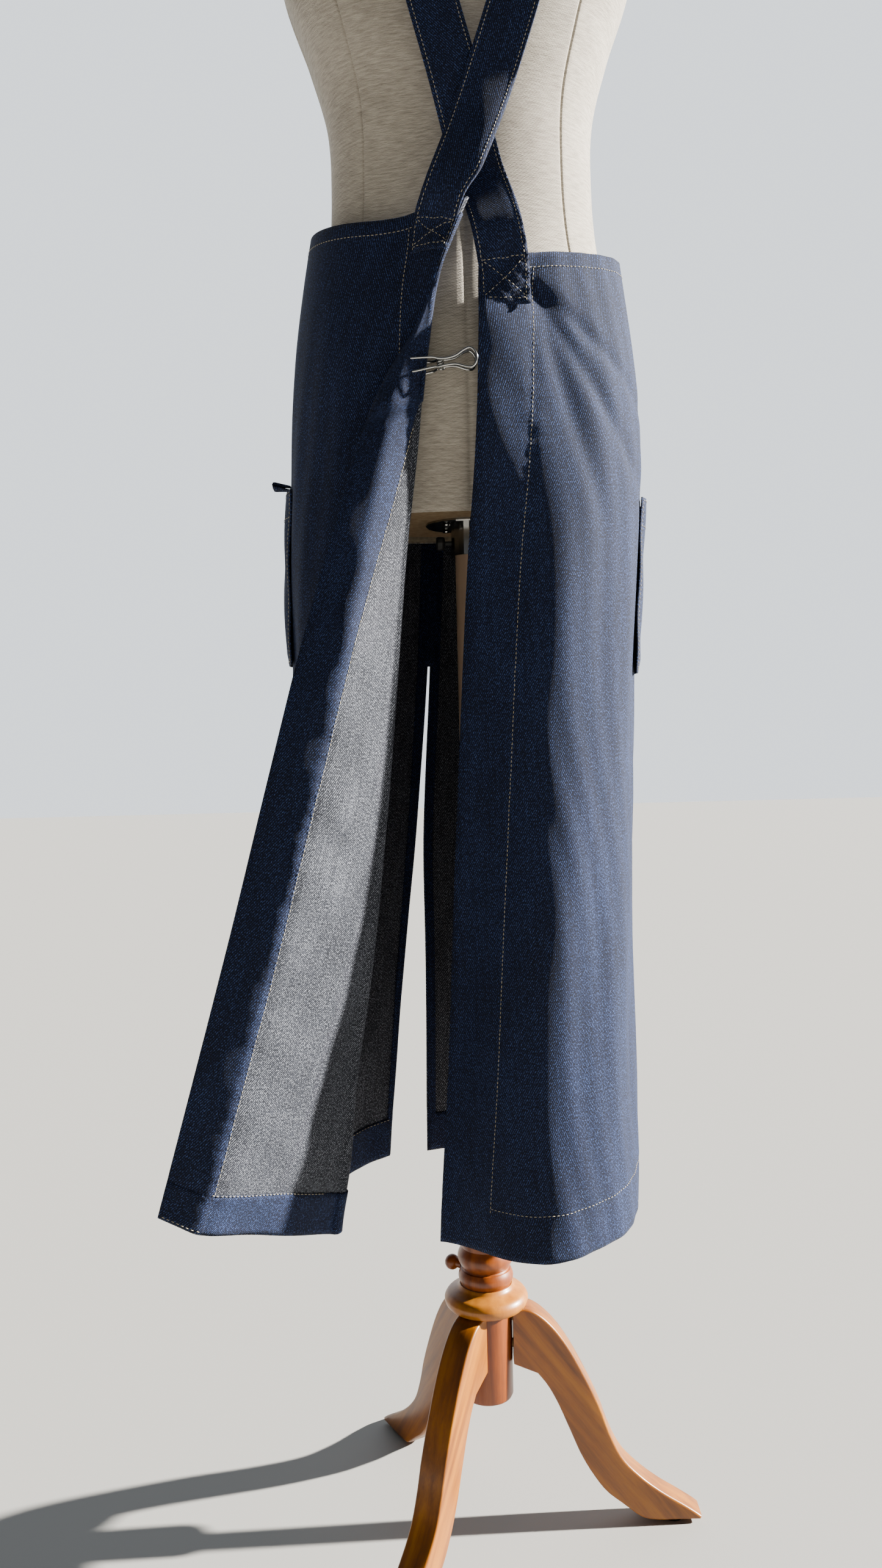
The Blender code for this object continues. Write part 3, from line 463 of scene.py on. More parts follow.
def stitch_runs(name, runs, lift=0.0009):
    """Rows of thread dashes. Each run is (places, normals): points along the row and the cloth's face."""
    bm = bmesh.new()
    step = STITCH_LENGTH + STITCH_GAP
    for places, normals in runs:
        hops = np.linalg.norm(np.diff(places, axis=0), axis=1)
        along = np.concatenate([[0], np.cumsum(hops)])
        count = int(along[-1] / step)
        if count < 1:
            continue
        middles = (np.arange(count) + 0.5) * along[-1] / count

        def at(distance):
            return np.array([np.interp(distance, along, places[:, k]) for k in range(3)])

        for distance in middles:
            here = at(distance)
            forward = Vector(at(distance + 0.001) - at(distance - 0.001)).normalized()
            normal = Vector([np.interp(distance, along, normals[:, k]) for k in range(3)]).normalized()
            side = normal.cross(forward).normalized()
            normal = forward.cross(side)
            turn = Matrix((side, forward, normal)).transposed().to_4x4()
            scale = Matrix.Diagonal((THREAD_WIDTH / 2, STITCH_LENGTH / 2, THREAD_WIDTH * 0.42, 1))
            place = Matrix.Translation(Vector(here) + normal * lift) @ turn @ scale
            bmesh.ops.create_icosphere(bm, subdivisions=1, radius=1.0, matrix=place)
    place_piece(name, bm, ["thread"], "torso")


def span(low, high, count=160):
    return np.linspace(low, high, count)


def walk(table, count):
    """Smooth curve of count points through a few places (Catmull-Rom)."""
    points = np.array(table, float)
    padded = np.vstack([2 * points[0] - points[1], points, 2 * points[-1] - points[-2]])
    spots = np.linspace(0, len(points) - 1, count)
    i = np.minimum(spots.astype(int), len(points) - 2)
    t = (spots - i)[:, None]
    a, b, c, d = padded[i], padded[i + 1], padded[i + 2], padded[i + 3]
    return 0.5 * (2 * b + (c - a) * t + (2 * a - 5 * b + 4 * c - d) * t**2 + (3 * b - a - 3 * c + d) * t**3)


NORMAL_STEP = 2e-3


def surface_normal(surface, u, v):
    """Unit normals of a surface by small steps along it."""
    def stepped(value, step):
        return np.clip(value + step, 0, 1)

    du = surface(stepped(u, NORMAL_STEP), v) - surface(stepped(u, -NORMAL_STEP), v)
    dv = surface(u, stepped(v, NORMAL_STEP)) - surface(u, stepped(v, -NORMAL_STEP))
    normal = np.cross(du, dv)
    return normal / (np.linalg.norm(normal, axis=-1)[..., None] + 1e-15)


def part_of(surface, u_span, v_span, out=0.0):
    """A strip of a surface, laid off it by this distance; spans are (low, high) or functions."""
    def strip(u, v):
        low_v, high_v = v_span(u) if callable(v_span) else v_span
        at_v = low_v + (high_v - low_v) * v
        low_u, high_u = u_span(at_v) if callable(u_span) else u_span
        at_u = low_u + (high_u - low_u) * u
        place = surface(at_u, at_v)
        if out:
            place = place + out * surface_normal(surface, at_u, at_v)
        return place
    return strip


LENGTHS = {}                     # how long each sheet is along its v


def cloth_piece(name, surface, columns, rows, thickness, replaced=(), finishes=("denim_face",), offset=0.0,
                rim=0):
    """A sheet on a fine grid, one finish or an outer and an inner one. Its UV map is in metres of cloth."""
    bm = bmesh.new()
    bmesh.ops.create_grid(bm, x_segments=columns, y_segments=rows, size=0.5)
    flat = np.array([v.co[:2] for v in bm.verts]) + 0.5
    places = surface(flat[:, 0], flat[:, 1])
    column = np.rint(flat[:, 0] * columns).astype(int)
    row = np.rint(flat[:, 1] * rows).astype(int)
    grid = np.zeros((rows + 1, columns + 1, 3))
    grid[row, column] = places
    across = np.zeros((rows + 1, columns + 1))
    across[:, 1:] = np.cumsum(np.linalg.norm(np.diff(grid, axis=1), axis=2), axis=1)
    up = np.zeros((rows + 1, columns + 1))
    up[1:] = np.cumsum(np.linalg.norm(np.diff(grid, axis=0), axis=2), axis=0)
    up = up.mean(axis=1)[:, None] * np.ones((1, columns + 1))
    layer = bm.loops.layers.uv.new("cloth")
    bm.verts.index_update()
    for face in bm.faces:
        for loop in face.loops:
            k = loop.vert.index
            loop[layer].uv = (across[row[k], column[k]], up[row[k], column[k]])
    for vert, place in zip(bm.verts, places):
        vert.co = Vector(place)
    bm.normal_update()
    piece = place_piece(name, bm, finishes, "torso", replaced)
    wall = piece.modifiers.new("cloth", "SOLIDIFY")
    wall.thickness = thickness
    wall.offset = offset
    wall.material_offset = len(finishes) - 1
    wall.material_offset_rim = rim
    wall.use_even_offset = False
    LENGTHS[name] = float(up[-1].max())


def turning(name, surface, columns, rows, thickness=0.0009, replaced=()):
    """A narrow strip of the face cloth turned under at an edge."""
    cloth_piece(name, surface, columns, rows, thickness, replaced)


def turned_part(name, profile, finishes, body, replaced, sides=96, at=None):
    """Spins an open or closed outline of (radius, height) points about the local Z axis."""
    bm = bmesh.new()
    corners = [bm.verts.new((r, 0.0, z)) for r, z in profile]
    edges = [bm.edges.new(pair) for pair in zip(corners, corners[1:])]
    bmesh.ops.spin(bm, geom=corners + edges, cent=(0, 0, 0), axis=(0, 0, 1), angle=math.tau, steps=sides,
                   use_merge=True)
    bmesh.ops.remove_doubles(bm, verts=bm.verts, dist=1e-6)
    if at is not None:
        bmesh.ops.transform(bm, matrix=at, verts=bm.verts)
    bmesh.ops.recalc_face_normals(bm, faces=bm.faces)
    place_piece(name, bm, finishes, body, replaced, smooth_angle=30)


# ==== skirt surfaces =============================================================================
SKIRT = Stations((0.270, 0.1500, 0.1362, 0.122, 0.146), (0.340, 0.1510, 0.1362, 0.122, 0.144),
                 (0.450, 0.1530, 0.1352, 0.121, 0.140), (0.560, 0.1550, 0.1352, 0.120, 0.136),
                 (0.670, 0.1570, 0.1372, 0.119, 0.133), (0.780, 0.1575, 0.1412, 0.118, 0.130),
                 (0.860, 0.1575, 0.1452, 0.116, 0.127), (0.950, 0.1530, 0.1492, 0.113, 0.124),
                 (1.055, 0.1460, 0.1440, 0.107, 0.117), (1.115, 0.1375, 0.1360, 0.100, 0.107),
                 (1.160, 0.1295, 0.1300, 0.094, 0.098))
SQUARENESS = 2.5
RIGHT_EDGE = Stations((0.270, -0.046), (0.330, -0.042), (0.440, -0.033), (0.565, -0.025), (0.690, -0.017),
                      (0.780, -0.011), (0.873, -0.004), (0.935, 0.002), (1.110, 0.010))
LEFT_ROLL = Stations((0.270, -0.128), (0.330, -0.122), (0.372, -0.114), (0.452, -0.105), (0.540, -0.091),
                     (0.642, -0.078), (0.783, -0.063), (0.872, -0.054), (0.955, -0.043), (1.032, -0.034),
                     (1.094, -0.021), (1.120, -0.010), (1.146, 0.0015))
RIGHT_SLIT = Stations((0.270, -0.054), (0.315, -0.053), (0.508, -0.050), (0.606, -0.049), (0.794, -0.0380),
                      (1.170, -0.018))
LEFT_SLIT = Stations((0.270, -0.094), (0.323, -0.089), (0.507, -0.070), (0.606, -0.0580), (0.794, -0.0400),
                     (1.170, -0.020))
# Free edge of the turned-back lapel: height of its cloth row at the roll, then x, y, z of the edge
LAPEL_EDGE = Stations((0.318, -0.249, -0.202, 0.375), (0.440, -0.222, -0.196, 0.470),
                      (0.560, -0.190, -0.186, 0.585), (0.680, -0.161, -0.176, 0.695),
                      (0.800, -0.133, -0.164, 0.800), (0.900, -0.106, -0.149, 0.893),
                      (0.980, -0.084, -0.132, 0.965), (1.040, -0.061, -0.1238, 1.014),
                      (1.075, -0.038, -0.1215, 1.050), (1.100, -0.0220, -0.1160, 1.092),
                      (1.120, -0.0115, -0.1120, 1.117), (1.146, 0.0000, -0.1060, 1.144))
RIGHT_TOP, RIGHT_HEM = (1.150, 1.125, 1.104), (0.307, 0.315, 0.300)
LEFT_TOP, LEFT_HEM = (1.150, 1.153, 1.133), (0.307, 0.290, 0.318)
FACING = 0.044                   # width of the turned facing down the back edges
HEM = 0.038
TOP_HEM = 0.012
DENIM = 0.0011                   # thickness of the cloth
BOTH_FACES = ["denim_face", "denim_back"]


def skirt(turn, height, out=0.0):
    """Places on the plain oval that the skirt hangs round."""
    left, right, front, back = SKIRT(height)
    c, s = np.cos(turn), np.sin(turn)
    half, depth = np.where(c > 0, right, left), np.where(s > 0, front, back)
    x = half * signed_power(c, 2 / SQUARENESS)
    return pushed_out(x, depth * signed_power(s, 2 / SQUARENESS), half, depth, height, out)


def skirt_turn(x, height, at_front):
    """The turn at which the plain oval has this x."""
    left, right, _, _ = SKIRT(height)
    half = np.where(x > 0, right, left)
    c = np.sign(x) * np.minimum(np.abs(x) / half, 1.0) ** (SQUARENESS / 2)
    return np.arccos(c) if at_front else math.tau - np.arccos(c)


CREST = Stations((0.30, 0.050), (0.45, 0.052), (0.60, 0.048), (0.72, 0.060), (0.86, 0.066), (0.95, 0.056),
                 (1.03, 0.044), (1.10, 0.026))
# slope, width and depth of the drag folds that run down from the lower strap's foot
DRAG_FOLDS = (0.30, 0.009, 0.0034), (0.62, 0.008, 0.0028), (1.15, 0.009, 0.0022)


def right_folds(x, y, z, turn):
    """How far the right panel stands out from its plain oval."""
    behind = ease(0.0, -0.05, y)
    left_of = np.minimum(x - CREST(z)[0], 0.0)
    lean = -0.20 * (np.sqrt(left_of**2 + 0.010**2) - 0.010) * ease(1.12, 1.00, z)
    rolls = 0.0012 * np.sin(11 * turn + 3.0 * z + 1.7 * np.sin(5 * z)) * ease(1.05, 0.75, z)
    soft = 0.0009 * np.sin(9 * turn - 23 * z) + 0.0004 * np.sin(31 * turn + 37 * z + 2 * np.sin(19 * z))
    drag = np.zeros_like(x)
    for slope, width, depth in DRAG_FOLDS:
        line = 0.050 + slope * (1.085 - z)
        drag = drag - depth * bell(x, line, width) * ease(1.10, 1.06, z) * ease(0.86, 0.98, z)
    flare = 0.010 * ease(0.054, 0.002, x) * ease(1.085, 1.050, z) * ease(0.88, 0.99, z)
    facing = x - RIGHT_EDGE(z)[0]
    groove = -0.0008 * bell(facing, FACING, 0.0030) * behind
    pucker = 0.0005 * np.sin(z * 420 + 3 * np.sin(z * 61)) * bell(facing, FACING, 0.0065) * behind
    return behind * (lean + drag + flare) + rolls + soft * 0.8 + groove + pucker


def hem_pucker(z, low, along):
    """Slight ripples and a dip beside the row of stitches above a hem."""
    lift = z - low
    wave = np.sin(along * 150 + 2 * np.sin(along * 31))
    return -0.0005 * bell(lift, HEM, 0.003) + 0.0003 * wave * bell(lift, HEM, 0.009)


def right_panel(u, v):
    """u 0 at the front slit, 1 at the back edge; v 0 at the hem, 1 at the top."""
    u, v = sheet_places(u, v)
    low, high = between(u, RIGHT_HEM), between(u, RIGHT_TOP)
    z = low + (high - low) * v
    start = skirt_turn(RIGHT_SLIT(z)[0], z, True)
    end = skirt_turn(RIGHT_EDGE(z)[0], z, False) - math.tau
    turn = start + (end - start) * u
    plain = skirt(turn, z)
    x, y = plain[..., 0], plain[..., 1]
    out = right_folds(x, y, z, turn) + hem_pucker(z, low, turn * 0.14)
    place = skirt(turn, z, out)
    fall = ease(1.0, 0.31, z)
    place[..., 1] += np.where(y < 0, 0.045 * fall * bell(x, RIGHT_EDGE(z)[0], 0.050), 0.0)
    return place


CORNER_RISE = 0.011
LAPEL_RIDGE = 0.027              # the lapel bends along its row of stitches
CORNER_LIFT = 0.020              # the strap pulls the left panel's back corner out and turns it
ROLL_SHARE, TURN_SHARE = 0.66, 0.70      # panel up to the roll, then the roll's bend, then the lapel


CORNER_HEIGHTS = 1.030, 1.095


def corner_pull(x):
    """How far the panel's back corner and the strap on it stand out, over their width."""
    return CORNER_LIFT * ease(-0.052, -0.004, x)


def left_panel(u, v):
    """One cloth: front slit at u 0, round the side to the roll line, then turned back outwards."""
    u, v = sheet_places(u, v)
    share = np.minimum(u / ROLL_SHARE, 1.0)
    low, high = between(share, LEFT_HEM), between(share, LEFT_TOP)
    z = low + (high - low) * v
    z = z + CORNER_RISE * ease(0.80, 1.0, share) ** 2 * ease(0.90, 1.0, v)
    start = skirt_turn(LEFT_SLIT(z)[0], z, True)
    end = skirt_turn(LEFT_ROLL(z)[0], z, False)
    turn = start + (end - start) * share
    flat = skirt(turn, z)
    soft = 0.0010 * np.sin(9 * turn + 15 * z) + 0.0004 * np.sin(27 * turn - 33 * z)
    calm = ease(1.0, 0.86, share)
    panel = skirt(turn, z, soft * calm * ease(1.13, 0.95, z) + hem_pucker(z, low, turn * 0.14) * calm)

    outward = skirt(turn, z, 1.0) - flat
    tangent = np.stack([-outward[..., 1], outward[..., 0], np.zeros_like(z)], -1)
    radius = (0.0016 + 0.0022 * ease(1.02, 0.5, z))[..., None]
    bend = np.pi * np.clip((u - ROLL_SHARE) / (TURN_SHARE - ROLL_SHARE), 0, 1)[..., None]
    centre = flat + outward * radius
    rolled = centre - outward * radius * np.cos(bend) + tangent * radius * np.sin(bend)

    across = np.clip((u - TURN_SHARE) / (1 - TURN_SHARE), 0, 1)
    root = flat + outward * 2 * radius
    edge = np.moveaxis(np.array(LAPEL_EDGE(z)), 0, -1)
    width = np.linalg.norm(edge - root, axis=-1)
    split = np.clip(1.0 - FACING / np.maximum(width, 1e-4), 0.02, 0.98)
    s = np.where(across < 0.5, split * across * 2, split + (1 - split) * (across * 2 - 1))
    crest = np.clip(split, 0.5, 0.98)
    ridge = np.minimum(s / crest, (1 - s) / (1 - crest))
    belly = LAPEL_RIDGE * ease(0.02, 0.10, width) * (1.01 - np.sqrt((1 - ridge) ** 2 + 0.02))
    distance = s * width
    ripple = (0.0016 * np.sin(38 * z + 60 * distance) + 0.0008 * np.sin(91 * z - 70 * distance)) \
        * np.sin(np.pi * np.clip(s * 1.15, 0, 1)) * ease(1.0, 0.8, z)
    knot = 0.0036 * bell(z, 0.672, 0.020) * bell(distance, width - 0.066, 0.010) \
        - 0.0030 * bell(z, 0.640, 0.012) * bell(distance, width - 0.068, 0.011) \
        + 0.0020 * bell(z, 0.606, 0.012) * bell(distance, width - 0.072, 0.011)
    ring = 0.0028 * bell(z, 1.000, 0.010) * bell(s, 0.62, 0.25) \
        - 0.0020 * bell(z, 0.985, 0.007) * bell(s, 0.6, 0.3)
    seam = -0.0009 * bell(width - distance, FACING, 0.003) \
        + 0.0006 * np.sin(z * 380 + 2 * np.sin(z * 47)) * bell(width - distance, FACING, 0.008)
    lapel = root + (edge - root) * s[..., None]
    lapel[..., 1] -= belly + ripple + knot + ring + seam + hem_pucker(z, low, distance * 1.3)
    turned_out = (u > TURN_SHARE)[..., None]
    place = np.where((u <= ROLL_SHARE)[..., None], panel, np.where(turned_out, lapel, rolled))
    behind = ease(0.0, -0.04, place[..., 1])
    place[..., 1] -= behind * corner_pull(place[..., 0]) * ease(*CORNER_HEIGHTS, place[..., 2])
    return place


PANELS = {"right": (right_panel, RIGHT_HEM, RIGHT_TOP, 1.0),
          "left": (left_panel, LEFT_HEM, LEFT_TOP, ROLL_SHARE)}


def hem_v(side, u, hem=HEM):
    """The height of a hem as a share of its panel's height there."""
    _, hems, tops, end = PANELS[side]
    share = np.minimum(np.asarray(u, float) / end, 1.0)
    return hem / (between(share, tops) - between(share, hems))


def right_facing_u(v):
    """Where the facing stitch runs on the right panel, as a share of its width."""
    z = np.interp(v, [0, 1], [RIGHT_HEM[2], RIGHT_TOP[2]])
    edge = RIGHT_EDGE(z)[0]
    start = skirt_turn(RIGHT_SLIT(z)[0], z, True)
    end = skirt_turn(edge, z, False) - math.tau
    at = skirt_turn(edge + FACING, z, False) - math.tau
    return (at - start) / (end - start)


LAPEL_FACING = TURN_SHARE + (1 - TURN_SHARE) * 0.5      # where the left facing begins on the lapel


def facing_start(v):
    """Where the left facing begins: on the turned-out part, and round the roll where that is narrow."""
    z = np.interp(v, [0, 1], [LEFT_HEM[2], LEFT_TOP[2]])
    return LAPEL_FACING + (inner_facing_u(z) - LAPEL_FACING) * ease(0.975, 0.992, z)


FACING_ROW = Stations((0.985, -0.0555), (1.050, -0.0535), (1.077, -0.0516), (1.110, -0.0475),
                      (1.160, -0.0435))


def inner_facing_u(z):
    """Where the left facing's stitch lies on the flat panel, above the height at which it meets the roll."""
    start = skirt_turn(LEFT_SLIT(z)[0], z, True)
    end = skirt_turn(LEFT_ROLL(z)[0], z, False)
    return ROLL_SHARE * (skirt_turn(FACING_ROW(z)[0], z, False) - start) / (end - start)


SEAM_LOW, SEAM_HIGH = 0.792, 1.148
UNDER = 0.0013                   # how far a turning lies behind its panel


def front_seam(u, v):
    """Seam turnings behind the join of the two front edges, above the slit."""
    z = SEAM_LOW + (SEAM_HIGH - SEAM_LOW) * v
    x = LEFT_SLIT(z)[0] - 0.006 + 0.014 * u
    return skirt(skirt_turn(x, z, True), z, -0.0018)


def make_panels():
    cloth_piece("right_panel", right_panel, 110, 190, DENIM, ["right_wrap"], BOTH_FACES[::-1], rim=1)
    cloth_piece("left_panel", left_panel, 132, 184, DENIM, ["left_wrap", "left_turnback"], BOTH_FACES)
    turning("front_seam_turning", front_seam, 4, 60, 0.0012)
    for side, inward, top_end in (("right", UNDER, 0.998), ("left", -UNDER, 0.66)):
        def hem_span(u):
            return np.full_like(u, 0.0015), hem_v(side, u)

        def top_span(u):
            return 1 - hem_v(side, u, TOP_HEM), np.full_like(u, 0.999)

        surface = PANELS[side][0]
        turning(side + "_hem_turning", part_of(surface, (0.004, 0.998), hem_span, inward), 130, 8)
        turning(side + "_top_turning", part_of(surface, (0.004, top_end), top_span, inward), 110, 3)
        turning(side + "_slit_turning", part_of(surface, (0.001, 0.016), (0.002, 0.85), inward), 4, 140)
    turning("right_facing", part_of(right_panel, lambda v: (right_facing_u(v), np.full_like(v, 0.9985)),
                                    (0.002, 0.998), UNDER), 10, 180)
    turning("left_facing", part_of(left_panel, lambda v: (facing_start(v), np.full_like(v, 0.999)),
                                   (0.002, 0.985), -UNDER), 24, 184)


# ==== rows of stitches ===========================================================================
def run_on(surface, u, v):
    """Places and normals of a row that follows a surface."""
    u, v = sheet_places(u, v)
    return surface(u, v), surface_normal(surface, u, v)


def panel_stitches():
    """Rows on the outside of the panels, and rows on their inner faces."""
    outer, inner = [], []

    def row(rows, side, u, v):
        here, normal = run_on(PANELS[side][0], u, v)
        rows.append((here, -normal if rows is inner else normal))

    tall = span(0.042, 0.985, 240)
    row(outer, "right", right_facing_u(tall), tall)
    hem_line = span(0.02, 1.0, 240) * float(right_facing_u(np.array(0.045)))
    row(outer, "right", hem_line, hem_v("right", hem_line))
    for side, u in (("right", span(0.01, 0.995)), ("left", span(0.01, 0.655))):
        row(outer, side, u, 1 - hem_v(side, u, TOP_HEM))
    u = span(0.01, 0.64)
    row(outer, "left", u, hem_v("left", u))
    for side in PANELS:
        row(outer, side, np.full(200, 0.015), span(0.03, 0.85, 200))
    # the lapel turns its inner face out, with the facing's row, the hem's row and the foot of the edge
    row(inner, "left", np.full(240, LAPEL_FACING), span(0.046, 0.80, 240))
    u = span(0.72, 0.86)
    row(inner, "left", u, hem_v("left", u))
    row(inner, "left", span(0.86, 0.99), np.full(160, 0.004))
    # above where the edge turns back, the facing's row is on the flat panel
    top_part = span(0.850, 0.985)
    height = np.interp(top_part, [0, 1], [LEFT_HEM[2], LEFT_TOP[2]])
    row(outer, "left", inner_facing_u(height), top_part)
    # inner faces of the front legs
    u = span(0.01, 0.3, 100)
    for side in PANELS:
        row(inner, side, u, hem_v(side, u, HEM - 0.001))
    return outer, inner


# ==== straps =====================================================================================
STRAP_WIDTH = 0.040
# x, y, z of each strap's middle line from its foot; without a y it lies on the skirt
STRAP_LOWER = ((0.029, None, 1.064), (0.029, None, 1.096), (0.0245, -0.1165, 1.126),
               (0.019, -0.1060, 1.150), (0.010, -0.0980, 1.180), (-0.007, -0.1105, 1.245),
               (-0.024, -0.1085, 1.310), (-0.040, -0.1080, 1.375),
               (-0.055, -0.107, 1.430), (-0.066, -0.100, 1.480), (-0.075, -0.080, 1.525),
               (-0.081, -0.045, 1.556), (-0.083, -0.008, 1.566), (-0.083, 0.028, 1.556),
               (-0.081, 0.058, 1.525), (-0.079, 0.082, 1.480), (-0.078, 0.100, 1.435), (-0.077, 0.110, 1.385))
STRAP_UPPER = ((-0.0240, None, 1.105), (-0.0215, None, 1.128), (-0.013, -0.1200, 1.150),
               (0.004, -0.1160, 1.192),
               (0.023, -0.1135, 1.245), (0.043, -0.110, 1.305), (0.061, -0.108, 1.370),
               (0.073, -0.106, 1.430), (0.080, -0.098, 1.480), (0.084, -0.078, 1.525),
               (0.086, -0.045, 1.552), (0.086, -0.008, 1.562), (0.083, 0.028, 1.556),
               (0.078, 0.058, 1.525), (0.072, 0.082, 1.480), (0.068, 0.100, 1.435), (0.065, 0.110, 1.385))
FOOT = 0.038                     # length of the lower strap that is sewn to its panel
UPPER_FOOT = FOOT * 0.70
FOOT_EDGE = -0.044               # left edge of the upper strap's foot
STRAP_ROWS, STRAP_COLUMNS = 150, 13
OVER_SHOULDER, SHOULDERS, STRAP_CLEAR = 1.40, 1.5, 0.0026
NARROW_BELOW = 1.150             # the upper strap's foot is tucked in to the roll line below this height


def torso_skin():
    """The outside of the linen, for straps to lie on."""
    turns, heights = np.meshgrid(np.linspace(0, math.tau, 97)[:-1], np.linspace(TORSO_BOTTOM, TORSO_TOP, 90))
    places = torso_surface(turns, heights, COVER_OUT + 0.0004).reshape(-1, 3)
    rows, count = heights.shape
    faces = [(r * count + k, r * count + (k + 1) % count, (r + 1) * count + (k + 1) % count,
              (r + 1) * count + k) for r in range(rows - 1) for k in range(count)]
    return BVHTree.FromPolygons([Vector(p) for p in places], faces)


def strap_surface(guide, skin, lean):
    """u across the strap from its left edge, v along it from its foot. One with a lean is pulled out and
    tucked in at its foot."""
    def kept_clear(spot):
        near, normal, _, _ = skin.find_nearest(spot)
        return near + normal * STRAP_CLEAR, (spot - near).dot(normal) < STRAP_CLEAR

    points = []
    for x, y, z in guide:
        if y is None:
            points.append(skirt(skirt_turn(np.array(x), z, False), z, 0.0030))
            continue
        place = Vector((x, y, z))
        lifted, too_near = kept_clear(place)
        points.append(np.array(lifted if z > OVER_SHOULDER or too_near else place))
    middle = walk(points, 400)
    gone = np.concatenate([[0], np.cumsum(np.linalg.norm(np.diff(middle, axis=0), axis=1))])
    even = np.linspace(0, gone[-1], STRAP_ROWS)
    middle = np.stack([np.interp(even, gone, middle[:, k]) for k in range(3)], -1)
    ups = np.gradient(middle, axis=0)
    ups /= np.linalg.norm(ups, axis=1)[:, None]
    grid = []
    for k, (place, up) in enumerate(zip(middle, ups)):
        normal = Vector((0, -1, 0))
        if place[2] > OVER_SHOULDER:
            normal = skin.find_nearest(Vector(place))[1]
        across = Vector(up).cross(normal).normalized()
        row = []
        for s in np.linspace(-0.5, 0.5, STRAP_COLUMNS):
            spot = Vector(place) + across * STRAP_WIDTH * s
            lifted, too_near = kept_clear(spot)
            spot = lifted if too_near else spot
            if k < STRAP_ROWS // 2 and lean:
                spot.y -= lean(s + 0.5, place[2])
            if lean and spot.z < NARROW_BELOW:
                edge = float(LEFT_ROLL(spot.z)[0]) + 0.0010
                full = place[0] + STRAP_WIDTH / 2
                squeeze = min(1.0, (edge - FOOT_EDGE) / (full - FOOT_EDGE))
                spot.x = FOOT_EDGE + (spot.x - FOOT_EDGE) * squeeze
            row.append(tuple(spot))
        grid.append(row)
    grid = np.array(grid)
    for _ in range(3):
        grid[1:-1] = 0.25 * grid[:-2] + 0.5 * grid[1:-1] + 0.25 * grid[2:]

    def surface(u, v):
        u, v = sheet_places(u, v)
        a, b = np.clip(v, 0, 1) * (STRAP_ROWS - 1), np.clip(u, 0, 1) * (STRAP_COLUMNS - 1)
        i, j = np.minimum(a.astype(int), STRAP_ROWS - 2), np.minimum(b.astype(int), STRAP_COLUMNS - 2)
        s, t = (a - i)[..., None], (b - j)[..., None]
        place = ((1 - s) * (1 - t) * grid[i, j] + (1 - s) * t * grid[i, j + 1]
                 + s * (1 - t) * grid[i + 1, j] + s * t * grid[i + 1, j + 1])
        edge = np.minimum(u, 1 - u) * STRAP_WIDTH
        place[..., 1] += np.where(v < 0.5, 1, -1) * 0.0006 * bell(edge, 0.003, 0.0022)
        sewn = ease(0.085, 0.055, v)
        place[..., 1] += sewn * (0.0012 * np.sin(u * 14 + v * 150) * np.sin(v * 260 + u * 5))
        return place
    return surface


def strap_stitches(surface, foot_v):
    """Both edges, and a crossed box at the foot."""
    along = span(0.002, 0.998, 420)
    runs = [run_on(surface, u, along) for u in (0.08, 0.92)]
    box = ((0.08, 0.006, 0.92, 0.006), (0.08, foot_v, 0.92, foot_v), (0.10, 0.008, 0.90, foot_v - 0.002),
           (0.10, foot_v - 0.002, 0.90, 0.008))
    return runs + [run_on(surface, span(u0, u1, 40), span(v0, v1, 40)) for u0, v0, u1, v1 in box]


def faced(runs, toward):
    """Turns each run's normals to the side that the eye outside the form sees."""
    out = []
    for here, normal in runs:
        sign = np.sign(np.sum(normal * toward(here), axis=1))
        sign[sign == 0] = 1
        out.append((here, normal * sign[:, None]))
    return out


def away_from_axis(places):
    """Outwards from the stand's axis, and a little upwards at the shoulders."""
    flat = places * np.array([1, 1, 0.0])
    upwards = np.array([0, 0, 0.25]) * (places[:, 2:3] > SHOULDERS)
    return flat / (np.linalg.norm(flat, axis=1)[:, None] + 1e-9) + upwards


def make_straps(skin):
    def upper_lean(share, z):
        pull = float(corner_pull(FOOT_EDGE + STRAP_WIDTH * share))
        return pull * float(ease(1.245, 1.165, z) * ease(*CORNER_HEIGHTS, z))

    for end, guide, lean, foot in (("lower", STRAP_LOWER, None, FOOT),
                                   ("upper", STRAP_UPPER, upper_lean, UPPER_FOOT)):
        name = end + "_strap"
        surface = strap_surface(guide, skin, lean)
        cloth_piece(name, surface, 14, 260, 0.0016, ["strap_" + end])
        runs = faced(strap_stitches(surface, foot / LENGTHS[name]), away_from_axis)
        stitch_runs(name + "_stitches", runs, lift=0.0010)


# ==== body form and bib ==========================================================================
# radius and height of a round plate's outline, drawn out to an oval when it is placed
ARM_PLATE = ((0, 0), (0.985, 0), (1.0, 0.0008), (1.0, 0.0026), (0.985, 0.0034), (0.93, 0.0045), (0.5, 0.0053),
             (0, 0.0055))
ARM_PLATE_OUT = 0.1556 + 0.0036


